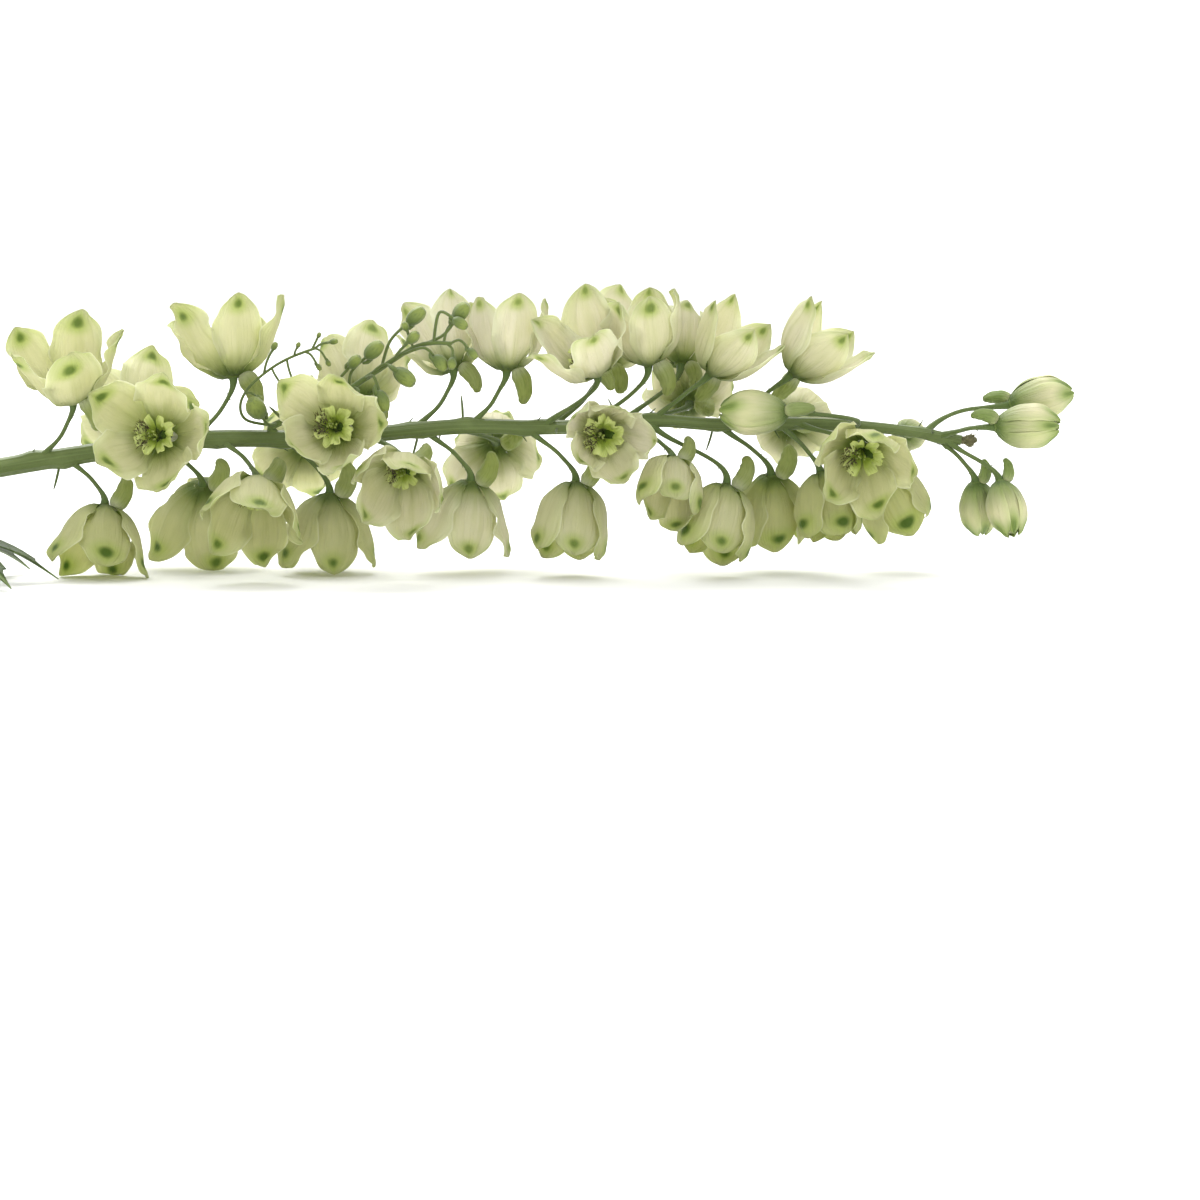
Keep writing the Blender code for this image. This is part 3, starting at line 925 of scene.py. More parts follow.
@dataclass(frozen=True)
class Flower:
    """Where one flower or bud grows, and how far it has opened."""

    foot: float  # x of its pedicel's root on the axis
    ahead: float  # how much nearer the tip its base lies
    around: float  # degrees round the axis from straight up, towards the front
    reach: float  # from the axis to its base
    lean: float  # degrees from facing straight out, towards the tip
    openness: float = 0.0  # 0 a closed bell, 1 wide open
    size: float = 1.0
    spin: float = 0.0  # degrees its spur is turned from the side towards the tip

    @property
    def under(self) -> float:
        """How far it hangs under the axis: 1 straight below, 0 beside it or above."""
        return max(0.0, -math.cos(math.radians(self.around)))

    def place(self) -> Matrix:
        """Work out where the flower sits and which way it faces.

        Returns:
            Its matrix: Z the way it faces, Y the side of its spur.
        """
        out = outward(self.around)
        lean = math.radians(self.lean)
        facing = out * math.cos(lean) + TIPWARD * math.sin(lean)
        spurward = TIPWARD * math.cos(lean) - out * math.sin(lean)
        spurward.rotate(Quaternion(facing, math.radians(self.spin)))
        side = spurward.cross(facing)
        hub = AXIS.middle(self.foot + self.ahead) + out * self.reach
        hub.x = self.foot + self.ahead
        return Matrix.Translation(hub) @ Matrix((side, spurward, facing)).transposed().to_4x4()

    def stalk(self, steps: int) -> list[Vector]:
        """Draw the pedicel's line, from the axis up to the back of the flower.

        Args:
            steps: how many pieces it has.

        Returns:
            Its points.
        """
        place = self.place()
        foot = AXIS.middle(self.foot)
        end = place @ Vector((0, 0, 0.3))
        span = (end - foot).length
        leave = (outward(self.around) + TIPWARD * 0.7).normalized() * (0.42 * span)
        arrive = (place.to_3x3() @ UP) * (0.34 * span)
        corners = (foot, foot + leave, end - arrive, end)
        line = []
        for step in range(steps + 1):
            t = step / steps
            weights = ((1 - t) ** 3, 3 * t * (1 - t) ** 2, 3 * t**2 * (1 - t), t**3)
            line.append(sum((c * w for c, w in zip(corners, weights)), Vector()))
        return line


OLD_BLOOMS = (
    Flower(-187, 13, 25, 20, -8, 0.52, 1.12),
    Flower(-177, 13, 160, 18, -6, 0.36),
    Flower(-168, 13, 285, 20, -8, 0.50, 1.12),
    Flower(-157, 13, 80, 20, -6, 0.54, 1.12),
    Flower(-146, 13, 215, 19, -4, 0.46, 1.12),
    Flower(-135, 13, 345, 20, -8, 0.50, 1.12),
    Flower(-126, 13, 132, 19, -4, 0.35, 1.06),
    Flower(-113, 14, 262, 19, -4, 0.46, 1.08),
    Flower(-104, 14, 185, 18, -4, 0.38, 1.04),
    Flower(-99, 13, 78, 19, -6, 0.44, 1.04),
    Flower(-93, 13, 302, 19, -6, 0.40, 1.04),
    Flower(-77, 13, 118, 19, -6, 0.34),
)
UPPER_BLOOMS = (
    Flower(-62, 13, -35, 22, -14, 0.36),
    Flower(-43, 12, -6, 18, 0, 0.26, 1.02),
    Flower(-19, 18, 32, 20, -20, 0.44, spin=80),
    Flower(-2, 18, 6, 18, -8, 0.24),
    Flower(8, 19, -36, 22, 0, 0.05, 0.85),
    Flower(18, 18, 14, 17, 36, 0.30, spin=55),
    Flower(45, 18, 5, 16, 44, 0.30, spin=65),
)
FRONT_BLOOMS = (
    Flower(-12, 12, 94, 18, 8, 0.38, 0.9),
    Flower(10, 14, 136, 16, -4, 0.08, 0.9),
    Flower(66, 20, 110, 16, 0, 0.40),
)
HANGING_BLOOMS = (
    Flower(-58, 15, 190, 18, -10, 0.36),
    Flower(-24, 16, 168, 18, -6, 0.12),
    Flower(16, 26, 162, 20, -12, 0.12),
    Flower(40, 17, 200, 18, 0, 0.12),
    Flower(60, 13, 165, 16, 10, 0.08, 0.9),
    Flower(80, 13, 208, 16, 22, 0.18, 0.95),
)
BACK_BLOOMS = (
    Flower(-50, 15, 250, 19, -6, 0.40),
    Flower(-16, 17, -44, 24, 2, 0.35),
    Flower(12, 18, 285, 19, 0, 0.32),
    Flower(50, 14, 265, 17, 8, 0.24),
)
BLOOMS = OLD_BLOOMS + UPPER_BLOOMS + FRONT_BLOOMS + HANGING_BLOOMS + BACK_BLOOMS
BUDS = (
    Flower(84, -22, 72, 14.5, -86),
    Flower(108, 28, -15, 12, 78, size=0.95, spin=150),
    Flower(113, 17, 66, 13, 86, size=0.95, spin=130),
    Flower(112, 13, 192, 14, 8, size=0.84),
    Flower(115, 17.5, 164, 13.5, 12, size=0.84),
    Flower(88, 13, 262, 13, 20, size=0.7),
)
EYE_OPENNESS = 0.36  # the inner petals of flowers opened this far are solids of their own
HALF_OPENNESS = 0.2  # flowers opened this far show smaller ones, deep inside


class Layer(Enum):
    """How far a sepal's two edges lie outside (+) or inside (-) their neighbours, in layers."""

    OUTSIDE = (1, 1)
    INSIDE = (-1, -1)
    CROSSED = (1.4, -1)


SEPAL_LAYERS = (Layer.OUTSIDE, Layer.INSIDE, Layer.OUTSIDE, Layer.INSIDE, Layer.CROSSED)
SEPAL_TURN = 72.0  # degrees from one sepal to the next


@dataclass(frozen=True)
class Spur:
    """The hollow wrinkled horn behind the top sepal, hooked and with a blunt end."""

    points: tuple[tuple[float, float, float], ...] = (
        (3.0, 1.6, 1.2),
        (3.4, 0.9, 2.2),
        (4.2, -0.5, 3.0),
        (5.3, -2.7, 3.1),
        (5.9, -5.2, 2.8),
        (6.0, -7.3, 2.5),
        (5.8, -8.7, 1.9),
    )
    sides: int = 18
    steps: int = 5

    def grow(self, growth: Growth, place: Matrix, size: float, seed: int) -> None:
        """Add the spur of one flower.

        Args:
            growth: the mesh that it joins.
            place: the flower's matrix.
            size: the flower's size.
            seed: the flower's number.
        """
        draw = Draws.SPUR.of(seed)
        slim = draw.uniform(0.82, 1.02)
        hook = draw.uniform(-0.4, 0.8)
        lean = draw.uniform(-0.9, 0.9)
        line = smooth_line([Vector(point) for point in self.points], self.steps)
        middles = []
        for number, p in enumerate(line):
            share = number / (len(line) - 1)
            spot = Vector((lean * share**2, p.x - hook * share**3, p.y))
            middles.append(settle(place @ (spot * size)))
        radii = [p.z * size * lerp(1.0, slim, number / len(line)) for number, p in enumerate(line)]

        def swell(row: int, turn: float) -> float:
            """Wrinkles that run along the spur and pinch it.

            Args:
                row: the row of the tube.
                turn: the angle round the tube, in radians.

            Returns:
                The factor of its radius there.
            """
            along = 0.05 * math.sin(4 * turn + seed + 0.1 * row) + 0.015 * math.sin(9 * turn + seed)
            pinch = 0.025 * math.sin(0.8 * row + 2 * math.cos(turn) + seed)
            return 1 + along + pinch

        growth.rounded_tube(middles, radii, self.sides, Tone.SPUR, (-0.1, -1.0), swell)


@dataclass
class Habit:
    """How one sepal grows and bends. Its lengths are in millimetres."""

    openness: float
    length: float
    phase: float  # where the waves of its rim begin
    waves: float  # how many of them
    curl: float  # how far its tip bends outward
    boat: float  # how far the sides of its tip fold inward
    pleat: float  # depth of the folds beside its midrib
    seed: float  # of its own unevenness
    acute: float  # power of the curve to its tip: more is more pointed
    broad: float  # factor of its width
    twist: float
    flat: float  # how little it is cupped
    full: float  # power of the fall from its widest place
    ruffle: float  # height of the waves of its rim
    crumple: float  # depth of its unevenness
    ragged: float  # how uneven its rim is, from 0 to 1


@dataclass(frozen=True)
class Bloom:
    """One flower: five overlapping sepals round a ring, and the spur."""

    number: int
    flower: Flower
    sepal_length: float = 28.0
    sepal_width: float = 18.5
    half_thickness: float = 0.22
    ring: float = 2.2
    ring_depth: float = 0.8
    layer: float = 1.0
    layer_openness: float = 0.04
    notch: float = 0.07  # how deep its rim is notched, as a share of its width
    frills: float = 4.3  # small waves along its rim
    frill: float = 0.4  # their height
    rib: float = 0.22  # how far its midrib stands out
    full_spread: float = 0.45  # an openness from which its sepals are as wavy as they get
    hooded_openness: float = 0.3  # below it the sepal at the spur closes over the others
    funnel_lean: float = 30.0  # flowers that lean more have plain, pointed sepals
    tip_width: float = 4.0  # half widths under this bring the sepal to a point
    columns: int = 18
    rows: int = 24

    SHARES = (0.0, 0.15, 0.4, 0.7, 1.0)
    BELL = (66, 46, 15, -3, -9)
    OPEN = (78, 62, 44, 40, 62)

    def midrib(self, openness: float) -> list[Vector]:
        """The line of a midrib for a sepal of length 1, as (radius, depth, angle).

        Args:
            openness: how far the flower is open.

        Returns:
            Points at even shares of its length.
        """
        steps = 64
        radius, depth, line = 0.0, 0.0, []
        for step in range(steps + 1):
            bell = between(self.SHARES, self.BELL, step / steps)
            wide = between(self.SHARES, self.OPEN, step / steps)
            angle = math.radians(lerp(bell, wide, openness))
            line.append(Vector((radius, depth, angle)))
            radius += math.sin(angle) / steps
            depth += math.cos(angle) / steps
        return line

    def half_width(self, share: float, acute: float, full: float) -> float:
        """Shape a full sepal: a narrow claw, a broad blade, a round or acute tip.

        Args:
            share: how far along it, from 0 to 1.
            acute: power of the curve to its tip.
            full: power of the fall from its widest place.

        Returns:
            Half its width there.
        """
        claw, widest = 0.2, 0.55
        rise = math.sin(math.pi / 2 * min(1.0, share / widest)) ** 1.25
        fall = max(0.0, (share - widest) / (1 - widest))
        return self.sepal_width / 2 * lerp(claw, 1.0, rise) * max(0.0, 1 - fall**full) ** acute

    def half(self, share: float, across: float) -> float:
        """Shape a sepal's thickness: more along the rib and at the green point.

        Args:
            share: how far along it, from 0 to 1.
            across: how far across it, from -1 to 1.

        Returns:
            Half the thickness there.
        """
        middle = self.half_thickness * (1 - abs(across) ** 3) ** 0.5
        rib = 0.14 * hump(across, 0, 0.16) * (1 - share)
        return middle + rib + 0.35 * hump(share, 0.91, 0.04) * hump(across, 0, 0.25)

    def habit(self, which: int, draw: random.Random) -> Habit:
        """Draw how one sepal grows.

        Args:
            which: the sepal's number, from 0 at the spur.
            draw: the flower's random numbers.

        Returns:
            Its habit.
        """
        flower = self.flower
        spread = min(1.0, flower.openness / self.full_spread)
        blunt = flower.under * (1 - spread)
        habit = Habit(
            openness=flower.openness + self.layer_openness * sum(SEPAL_LAYERS[which].value) / 2,
            length=self.sepal_length * flower.size * draw.uniform(0.96, 1.04),
            phase=draw.uniform(0, 6.28),
            waves=draw.uniform(1.6, 2.8),
            curl=lerp(draw.uniform(-2.0, -0.6), draw.uniform(-1.6, 2.2), spread),
            boat=draw.uniform(0.6, 2.0) * (1.25 - 0.6 * spread),
            pleat=draw.uniform(0.08, 0.26),
            seed=draw.uniform(0, 90),
            acute=draw.uniform(0.58, 0.85) - 0.12 * blunt,
            broad=draw.uniform(0.92, 1.06),
            twist=draw.uniform(-1.0, 1.0),
            flat=draw.uniform(0.0, 1.0),
            full=2.2 + 1.5 * blunt,
            ruffle=lerp(0.5, 1.35, spread),
            crumple=lerp(0.5, 1.35, spread),
            ragged=spread,
        )
        if which == 0 and flower.openness < self.hooded_openness:
            habit.openness -= 0.07
            habit.curl -= 1.2
        if flower.lean > self.funnel_lean:
            habit.acute += 0.3
            habit.curl *= 0.4
            habit.twist *= 0.4
            habit.full, habit.ruffle, habit.crumple, habit.ragged = 1.9, 0.35, 0.6, 0.1
        return habit

    def surface(self, place: Matrix, which: int, habit: Habit) -> Surface:
        """Work out a sepal's middle surface, cupped round the flower.

        Args:
            place: the flower's matrix.
            which: the sepal's number, from 0 at the spur.
            habit: how it grows.

        Returns:
            The point at a share along the sepal and a share across it.
        """
        edges = SEPAL_LAYERS[which].value
        azimuth = math.radians(90 + SEPAL_TURN * which)
        out = Vector((math.cos(azimuth), math.sin(azimuth), 0))
        round_it = Vector((-math.sin(azimuth), math.cos(azimuth), 0))
        line = self.midrib(habit.openness)
        length, seed = habit.length, habit.seed
        ring = self.ring * self.flower.size

        def point(share: float, across: float) -> Vector:
            """Bend the blade: its cup, then its layer, waves, rib, folds and tip.

            Args:
                share: how far along it, from 0 to 1.
                across: how far across it, from -1 to 1.

            Returns:
                The point there.
            """
            here = read_line(line, share)
            radius = here.x * length + ring
            depth = here.y * length + self.ring_depth
            outside = out * math.cos(here.z) - UP * math.sin(here.z)
            cup = max(radius, 5.0) + (7 + 10 * habit.flat) * habit.openness * share
            wide = self.half_width(share, habit.acute, habit.full)
            wide *= habit.broad * length / self.sepal_length
            notch = ripple(Vector((share * 7, 2.0 if across > 0 else -2.0, 0)), 1.0, seed)
            wide *= 1 + self.notch * (0.4 + 0.6 * habit.ragged) * notch * abs(across)
            bend = wide * across / cup
            across *= min(1.0, wide / self.tip_width)
            grown, middle = min(1.0, share / 0.35), 4 * share * (1 - share)
            lift = self.layer * lerp(edges[0], edges[1], (across + 1) / 2) * min(1.0, share / 0.3)
            turn = 2 * math.pi * habit.waves * share + habit.phase + (1.0 if across > 0 else -1.0)
            lift += habit.ruffle * math.sin(turn) * abs(across) ** 3 * grown
            frill = math.sin(2 * math.pi * self.frills * share + 2 * habit.phase + 2 * across)
            lift += self.frill * habit.ragged * frill * abs(across) ** 5 * grown
            lift += self.rib * hump(across, 0, 0.13) * middle
            folds = hump(across, 0.42, 0.15) + hump(across, -0.42, 0.15)
            lift -= habit.pleat * folds * middle
            end = max(0.0, share - 0.76) / 0.24
            lift += habit.curl * end**2 - habit.boat * end * across**2
            local = Vector((out.x * share, out.y * share, across * 0.4))
            uneven = ripple(local, 3.1, seed) + 0.35 * ripple(local, 8.0, seed)
            lift += habit.crumple * uneven * share + 0.5 * habit.twist * across * share**2
            aside = cup * math.sin(bend) + 0.8 * habit.twist * share**3
            spot = out * radius + UP * depth + round_it * aside
            return settle(place @ (spot + outside * (lift - cup * (1 - math.cos(bend)))))

        return point

    @property
    def green_tone_and_hanging_shade(self) -> float:
        """How green its sepals are: more near the tip and low on the spike, and darker green under
        the axis, which is painted shade.

        Returns:
            The tone that its finish reads, from 0 for white.
        """
        youth = min(max((self.flower.foot + 60) / 140, 0.0), 1.0)
        age = min(max((-68 - self.flower.foot) / 40, 0.0), 1.0)
        under = self.flower.under
        # the term for flowers under the axis paints their shade as a darker green tone
        return 0.04 + 0.16 * youth + 0.3 * age + 0.5 * under * (0.35 + 0.65 * youth)

    def build(self, material: bpy.types.Material) -> bpy.types.Object:
        """Build the whole flower as one piece.

        Args:
            material: the petals' finish.

        Returns:
            The piece.
        """
        draw = Draws.BLOOM.of(self.number)
        growth = Growth()
        place = self.flower.place()
        size = self.flower.size
        for which in range(len(SEPAL_LAYERS)):
            surface = self.surface(place, which, self.habit(which, draw))
            tone = self.green_tone_and_hanging_shade + draw.uniform(0.0, 0.18)
            growth.blade(self.columns, self.rows, surface, self.half, tone)
        Spur().grow(growth, place, size, self.number)
        knob = [place @ Vector((0, 0, z)) for z in (0.2, 0.9, 1.7, 2.3)]
        girths = [1.3 * size, 2.3 * size, 2.4 * size, 1.6 * size]
        growth.rounded_tube(knob, girths, 16, Tone.SPUR, (0.05, 0.05))
        return growth.finish(f"flower_{self.number:02d}", material)


@dataclass(frozen=True)
class Bud:
    """A closed bud: five sepals wrapped round each other, with the spur."""

    number: int
    flower: Flower
    length: float = 23.5
    radius: float = 7.2
    half_thickness: float = 0.25
    layer: float = 0.38
    spur_size: float = 0.8
    wrap_shares: tuple[float, ...] = (0, 0.15, 0.55, 0.85, 0.96, 1)
    wrap: tuple[float, ...] = (37, 50, 56, 54, 40, 14)  # half a sepal's turn there, in degrees
    columns: int = 16
    rows: int = 24

    def girth(self, share: float) -> float:
        """Shape the bud: slim at its foot, blunt at its tip.

        Args:
            share: how far along it, from 0 to 1.

        Returns:
            The radius there of a bud of size 1.
        """
        ahead = 2 * share - 1
        taper = 1 - 0.2 * ahead**2 + (0.1 * ahead if ahead > 0 else 0.0)
        return self.radius * taper * math.sqrt(max(0.0, 1 - ahead**2))

    def sepal(self, growth: Growth, place: Matrix, which: int, draw: random.Random) -> None:
        """Add one sepal of the bud.

        Args:
            growth: the mesh that it joins.
            place: the bud's matrix.
            which: the sepal's number, from 0 at the spur.
            draw: the bud's random numbers.
        """
        size = self.flower.size
        edges = SEPAL_LAYERS[which].value
        azimuth = 90 + SEPAL_TURN * which
        seed = draw.uniform(0, 90)
        lead = draw.uniform(-5, 5)
        reach = draw.uniform(-0.015, 0.02)
        flare = draw.uniform(-0.35, 0.1)
        closing = 0.35 + 0.07 * (self.number % 5)

        def surface(share: float, across: float) -> Vector:
            """Wrap the sepal's middle surface round the bud.

            Args:
                share: how far along it, from 0 to 1.
                across: how far across it, from -1 to 1.

            Returns:
                The point there.
            """
            spread = between(self.wrap_shares, self.wrap, share)
            turn = math.radians(azimuth + spread * across + lead * share)
            stand = (0.94 + reach) * share + 0.02 * share * (1 - across**2)
            girth = self.girth(min(stand * 0.97 + 0.012, 0.985))
            girth *= 1 - closing * (max(0.0, share - 0.7) / 0.3) ** 2
            girth += self.layer * lerp(edges[0], edges[1], (across + 1) / 2) * min(1.0, share * 4)
            girth += 0.25 * hump(across, 0, 0.4) * min(1.0, 3 * share)
            girth += flare * max(0.0, share - 0.85) / 0.15
            girth += 0.4 * ripple(Vector((turn, share * 3, 0)), 1.3, seed)
            girth *= size
            height = stand * self.length * size
            return settle(
                place @ Vector((math.cos(turn) * girth, math.sin(turn) * girth, height))
            )

        def half(share: float, across: float) -> float:
            """Half the thickness: more at the green point near the tip."""
            middle = self.half_thickness * (1 - abs(across) ** 3) ** 0.5
            return middle + 0.35 * hump(share, 0.94, 0.05) * hump(across, 0, 0.5)

        growth.blade(self.columns, self.rows, surface, half, draw.uniform(0.0, 0.35))

    def build(self, material: bpy.types.Material) -> bpy.types.Object:
        """Build the bud as one piece.

        Args:
            material: the bud's finish.

        Returns:
            The piece.
        """
        draw = Draws.BUD.of(self.number)
        growth = Growth()
        place = self.flower.place()
        size = self.flower.size
        for which in range(len(SEPAL_LAYERS)):
            self.sepal(growth, place, which, draw)
        shares = [step / 12 for step in range(1, 12)]
        core = [place @ Vector((0, 0, share * self.length * size * 0.9)) for share in shares]
        girths = []
        for share in shares:
            slimmer = 1 - 0.5 * max(0.0, share - 0.6)
            girths.append(max((self.girth(share) - 0.9) * size * slimmer, 0.5))
        growth.rounded_tube(core, girths, 20, 0.3, (0.0, 0.8))
        Spur().grow(growth, place, size * self.spur_size, self.number)
        return growth.finish(f"closed_bud_{self.number:02d}", material)


@dataclass(frozen=True)
class Eye:
    """The middle of an open flower: four ruffled petals, the throat, stamens and a beard."""

    number: int
    flower: Flower
    profile: tuple[tuple[float, float, float], ...] = (
        (0.9, 2.0, 1.0),
        (1.7, 4.6, 1.5),
        (2.9, 6.8, 2.5),
        (4.8, 9.0, 3.9),
        (7.3, 10.4, 4.7),
    )  # distance from the flower's line, along it, and half the petal's width
    columns: int = 24
    rows: int = 16
    hairs: int = 120
    stamen_count: int = 11
    scale: float = 1.0

    def petal(self, growth: Growth, place: Matrix, which: int, draw: random.Random) -> None:
        """Add one ruffled petal.

        Args:
            growth: the mesh that it joins.
            place: the flower's matrix.
            which: its number. The first two stand on the spur's side.
            draw: the flower's random numbers.
        """
        azimuth = math.radians(45 + 90 * which + draw.uniform(-12, 12))
        line = smooth_line([Vector(point) for point in self.profile], 6)
        breadth = draw.uniform(0.85, 1.12)
        tall = draw.uniform(0.9, 1.0)
        folded = draw.uniform(0.5, 1.4) if which < 2 else draw.uniform(-0.2, 0.8)
        seed = draw.uniform(0, 90)
        split = draw.uniform(-0.3, 0.3)

        def surface(share: float, across: float) -> Vector:
            """Shape the petal's middle surface: an upright claw and a crumpled limb bent outward.

            Args:
                share: how far along it, from 0 to 1.
                across: how far across it, from -1 to 1.

            Returns:
                The point there.
            """
            here = read_line(line, share * tall * (1 - 0.2 * hump(across, split, 0.16) * share**3))
            local = Vector((across * 1.2, share * 1.5, which))
            crumple = ripple(local, 1.7, seed) + 0.55 * ripple(local, 4.1, seed + 7)
            push = (1.7 * crumple + folded * (0.4 + across**2)) * share**1.6
            reach = max(here.x - 0.6 * push, 0.4)
            turn = azimuth + here.z * breadth * across / max(here.x, 2.4)
            way = Vector((math.cos(turn), math.sin(turn), 0))
            return place @ (way * reach + UP * (here.y + 0.8 * push))

        def half(share: float, across: float) -> float:
            """Half the thickness, down to a thin rim."""
            return 0.17 * (1 - across**4)

        growth.blade(self.columns, self.rows, surface, half, draw.uniform(0, 0.5))

    def throat(self, growth: Growth, place: Matrix) -> None:
        """Add a dark closed tube between the upper petals: painted shade where the mouth of the
        spur opens.

        Args:
            growth: the mesh that it joins.
            place: the flower's matrix.
        """
        spots = ((1.4, 1.8), (2.0, 3.8), (2.8, 5.6), (3.2, 6.8))
        line = [place @ Vector((0, y, z)) for y, z in spots]
        growth.rounded_tube(line, [1.3, 1.8, 2.1, 1.6], 12, Tone.THROAT_SHADE)

    def stamens(self, growth: Growth, place: Matrix, draw: random.Random) -> None:
        """Add the stamens and their small heads, low in the middle.

        Args:
            growth: the mesh that it joins.
            place: the flower's matrix.
            draw: the flower's random numbers.
        """
        for _ in range(self.stamen_count):
            turn, lean = draw.uniform(0, 6.28), draw.uniform(0.2, 1.5)
            way = Vector((math.cos(turn) * lean, math.sin(turn) * lean - 0.6, 0))
            height = draw.uniform(4.5, 7.5)
            line = [place @ (way * s + UP * (1.8 + height * s)) for s in (0.0, 0.4, 0.75, 1.0)]
            growth.rounded_tube(line, [0.2, 0.17, 0.15, 0.12], 5, Tone.FILAMENT)
            head = [line[-1], line[-1] + (line[-1] - line[-2]).normalized() * 0.9]
            growth.rounded_tube(head, [0.4, 0.35], 6, Tone.ANTHER)

    def beard(self, growth: Growth, place: Matrix, draw: random.Random) -> None:
        """Add the brown hairs on the two lower petals.

        Args:
            growth: the mesh that it joins.
            place: the flower's matrix.
            draw: the flower's random numbers.
        """
        line = [Vector(point) for point in self.profile]
        for hair in range(self.hairs):
            azimuth = math.radians((242 if hair % 2 else 298) + draw.gauss(0, 14))
            out = Vector((math.cos(azimuth), math.sin(azimuth), 0))
            here = read_line(line, draw.uniform(0.5, 0.92))
            root = out * here.x + UP * here.y
            way = UP * draw.uniform(0.5, 1.0) + out * draw.uniform(-0.5, 0.9)
            way += Vector((draw.uniform(-0.7, 0.7), draw.uniform(-0.7, 0.7), 0))
            tip = root + way.normalized() * draw.uniform(1.2, 2.6)
            bend = root.lerp(tip, 0.5) + out * draw.uniform(-0.25, 0.25)
            knots = [place @ root, place @ bend, place @ tip]
            radii = [0.0, 0.16, 0.12, 0.05, 0.0]
            growth.tube([knots[0], *knots, knots[2]], radii, 4, draw.choice((0.0, 0.0, 1.0)))

    def build(
        self, frill: bpy.types.Material, brown: bpy.types.Material
    ) -> tuple[bpy.types.Object, bpy.types.Object]:
        """Build the petals, the throat and the stamens as one piece, and the hairs as another.

        Args:
            frill: the petals' finish.
            brown: the hairs' finish.

        Returns:
            The two pieces.
        """
        draw = Draws.EYE.of(self.number)
        place = self.flower.place() @ Matrix.Scale(self.scale, 4)
        petals = Growth()
        for which in range(4):
            self.petal(petals, place, which, draw)
        self.throat(petals, place)
        hairs = Growth()
        self.stamens(petals, place, draw)
        self.beard(hairs, place, draw)
        name = f"{self.number:02d}"
        return petals.finish("inner_petals_" + name, frill), hairs.finish("beard_" + name, brown)


def slender_bract(
    growth: Growth, root: Vector, way: Vector, length: float, width: float
) -> None:
    """Add a slender pointed bract, curved towards its tip.

    Args:
        growth: the mesh that it joins.
        root: where it grows.
        way: which way it points.
        length: its length.
        width: half its width.
    """
    way = way.normalized()
    side = way.orthogonal().normalized()
    lift = way.cross(side)

    def surface(share: float, across: float) -> Vector:
        """Bend the bract's middle surface.

        Args:
            share: how far along it, from 0 to 1.
            across: how far across it, from -1 to 1.

        Returns:
            The point there.
        """
        wide = width * (0.6 + 0.8 * share) * (1 - share) ** 0.6
        spot = root + way * (length * share) + side * (wide * across)
        return spot + lift * (0.14 * length * share**2 + 0.35 * wide * across**2)

    growth.blade(4, 8, surface, lambda share, across: 0.16 * width + 0.05, Tone.YOUNG)


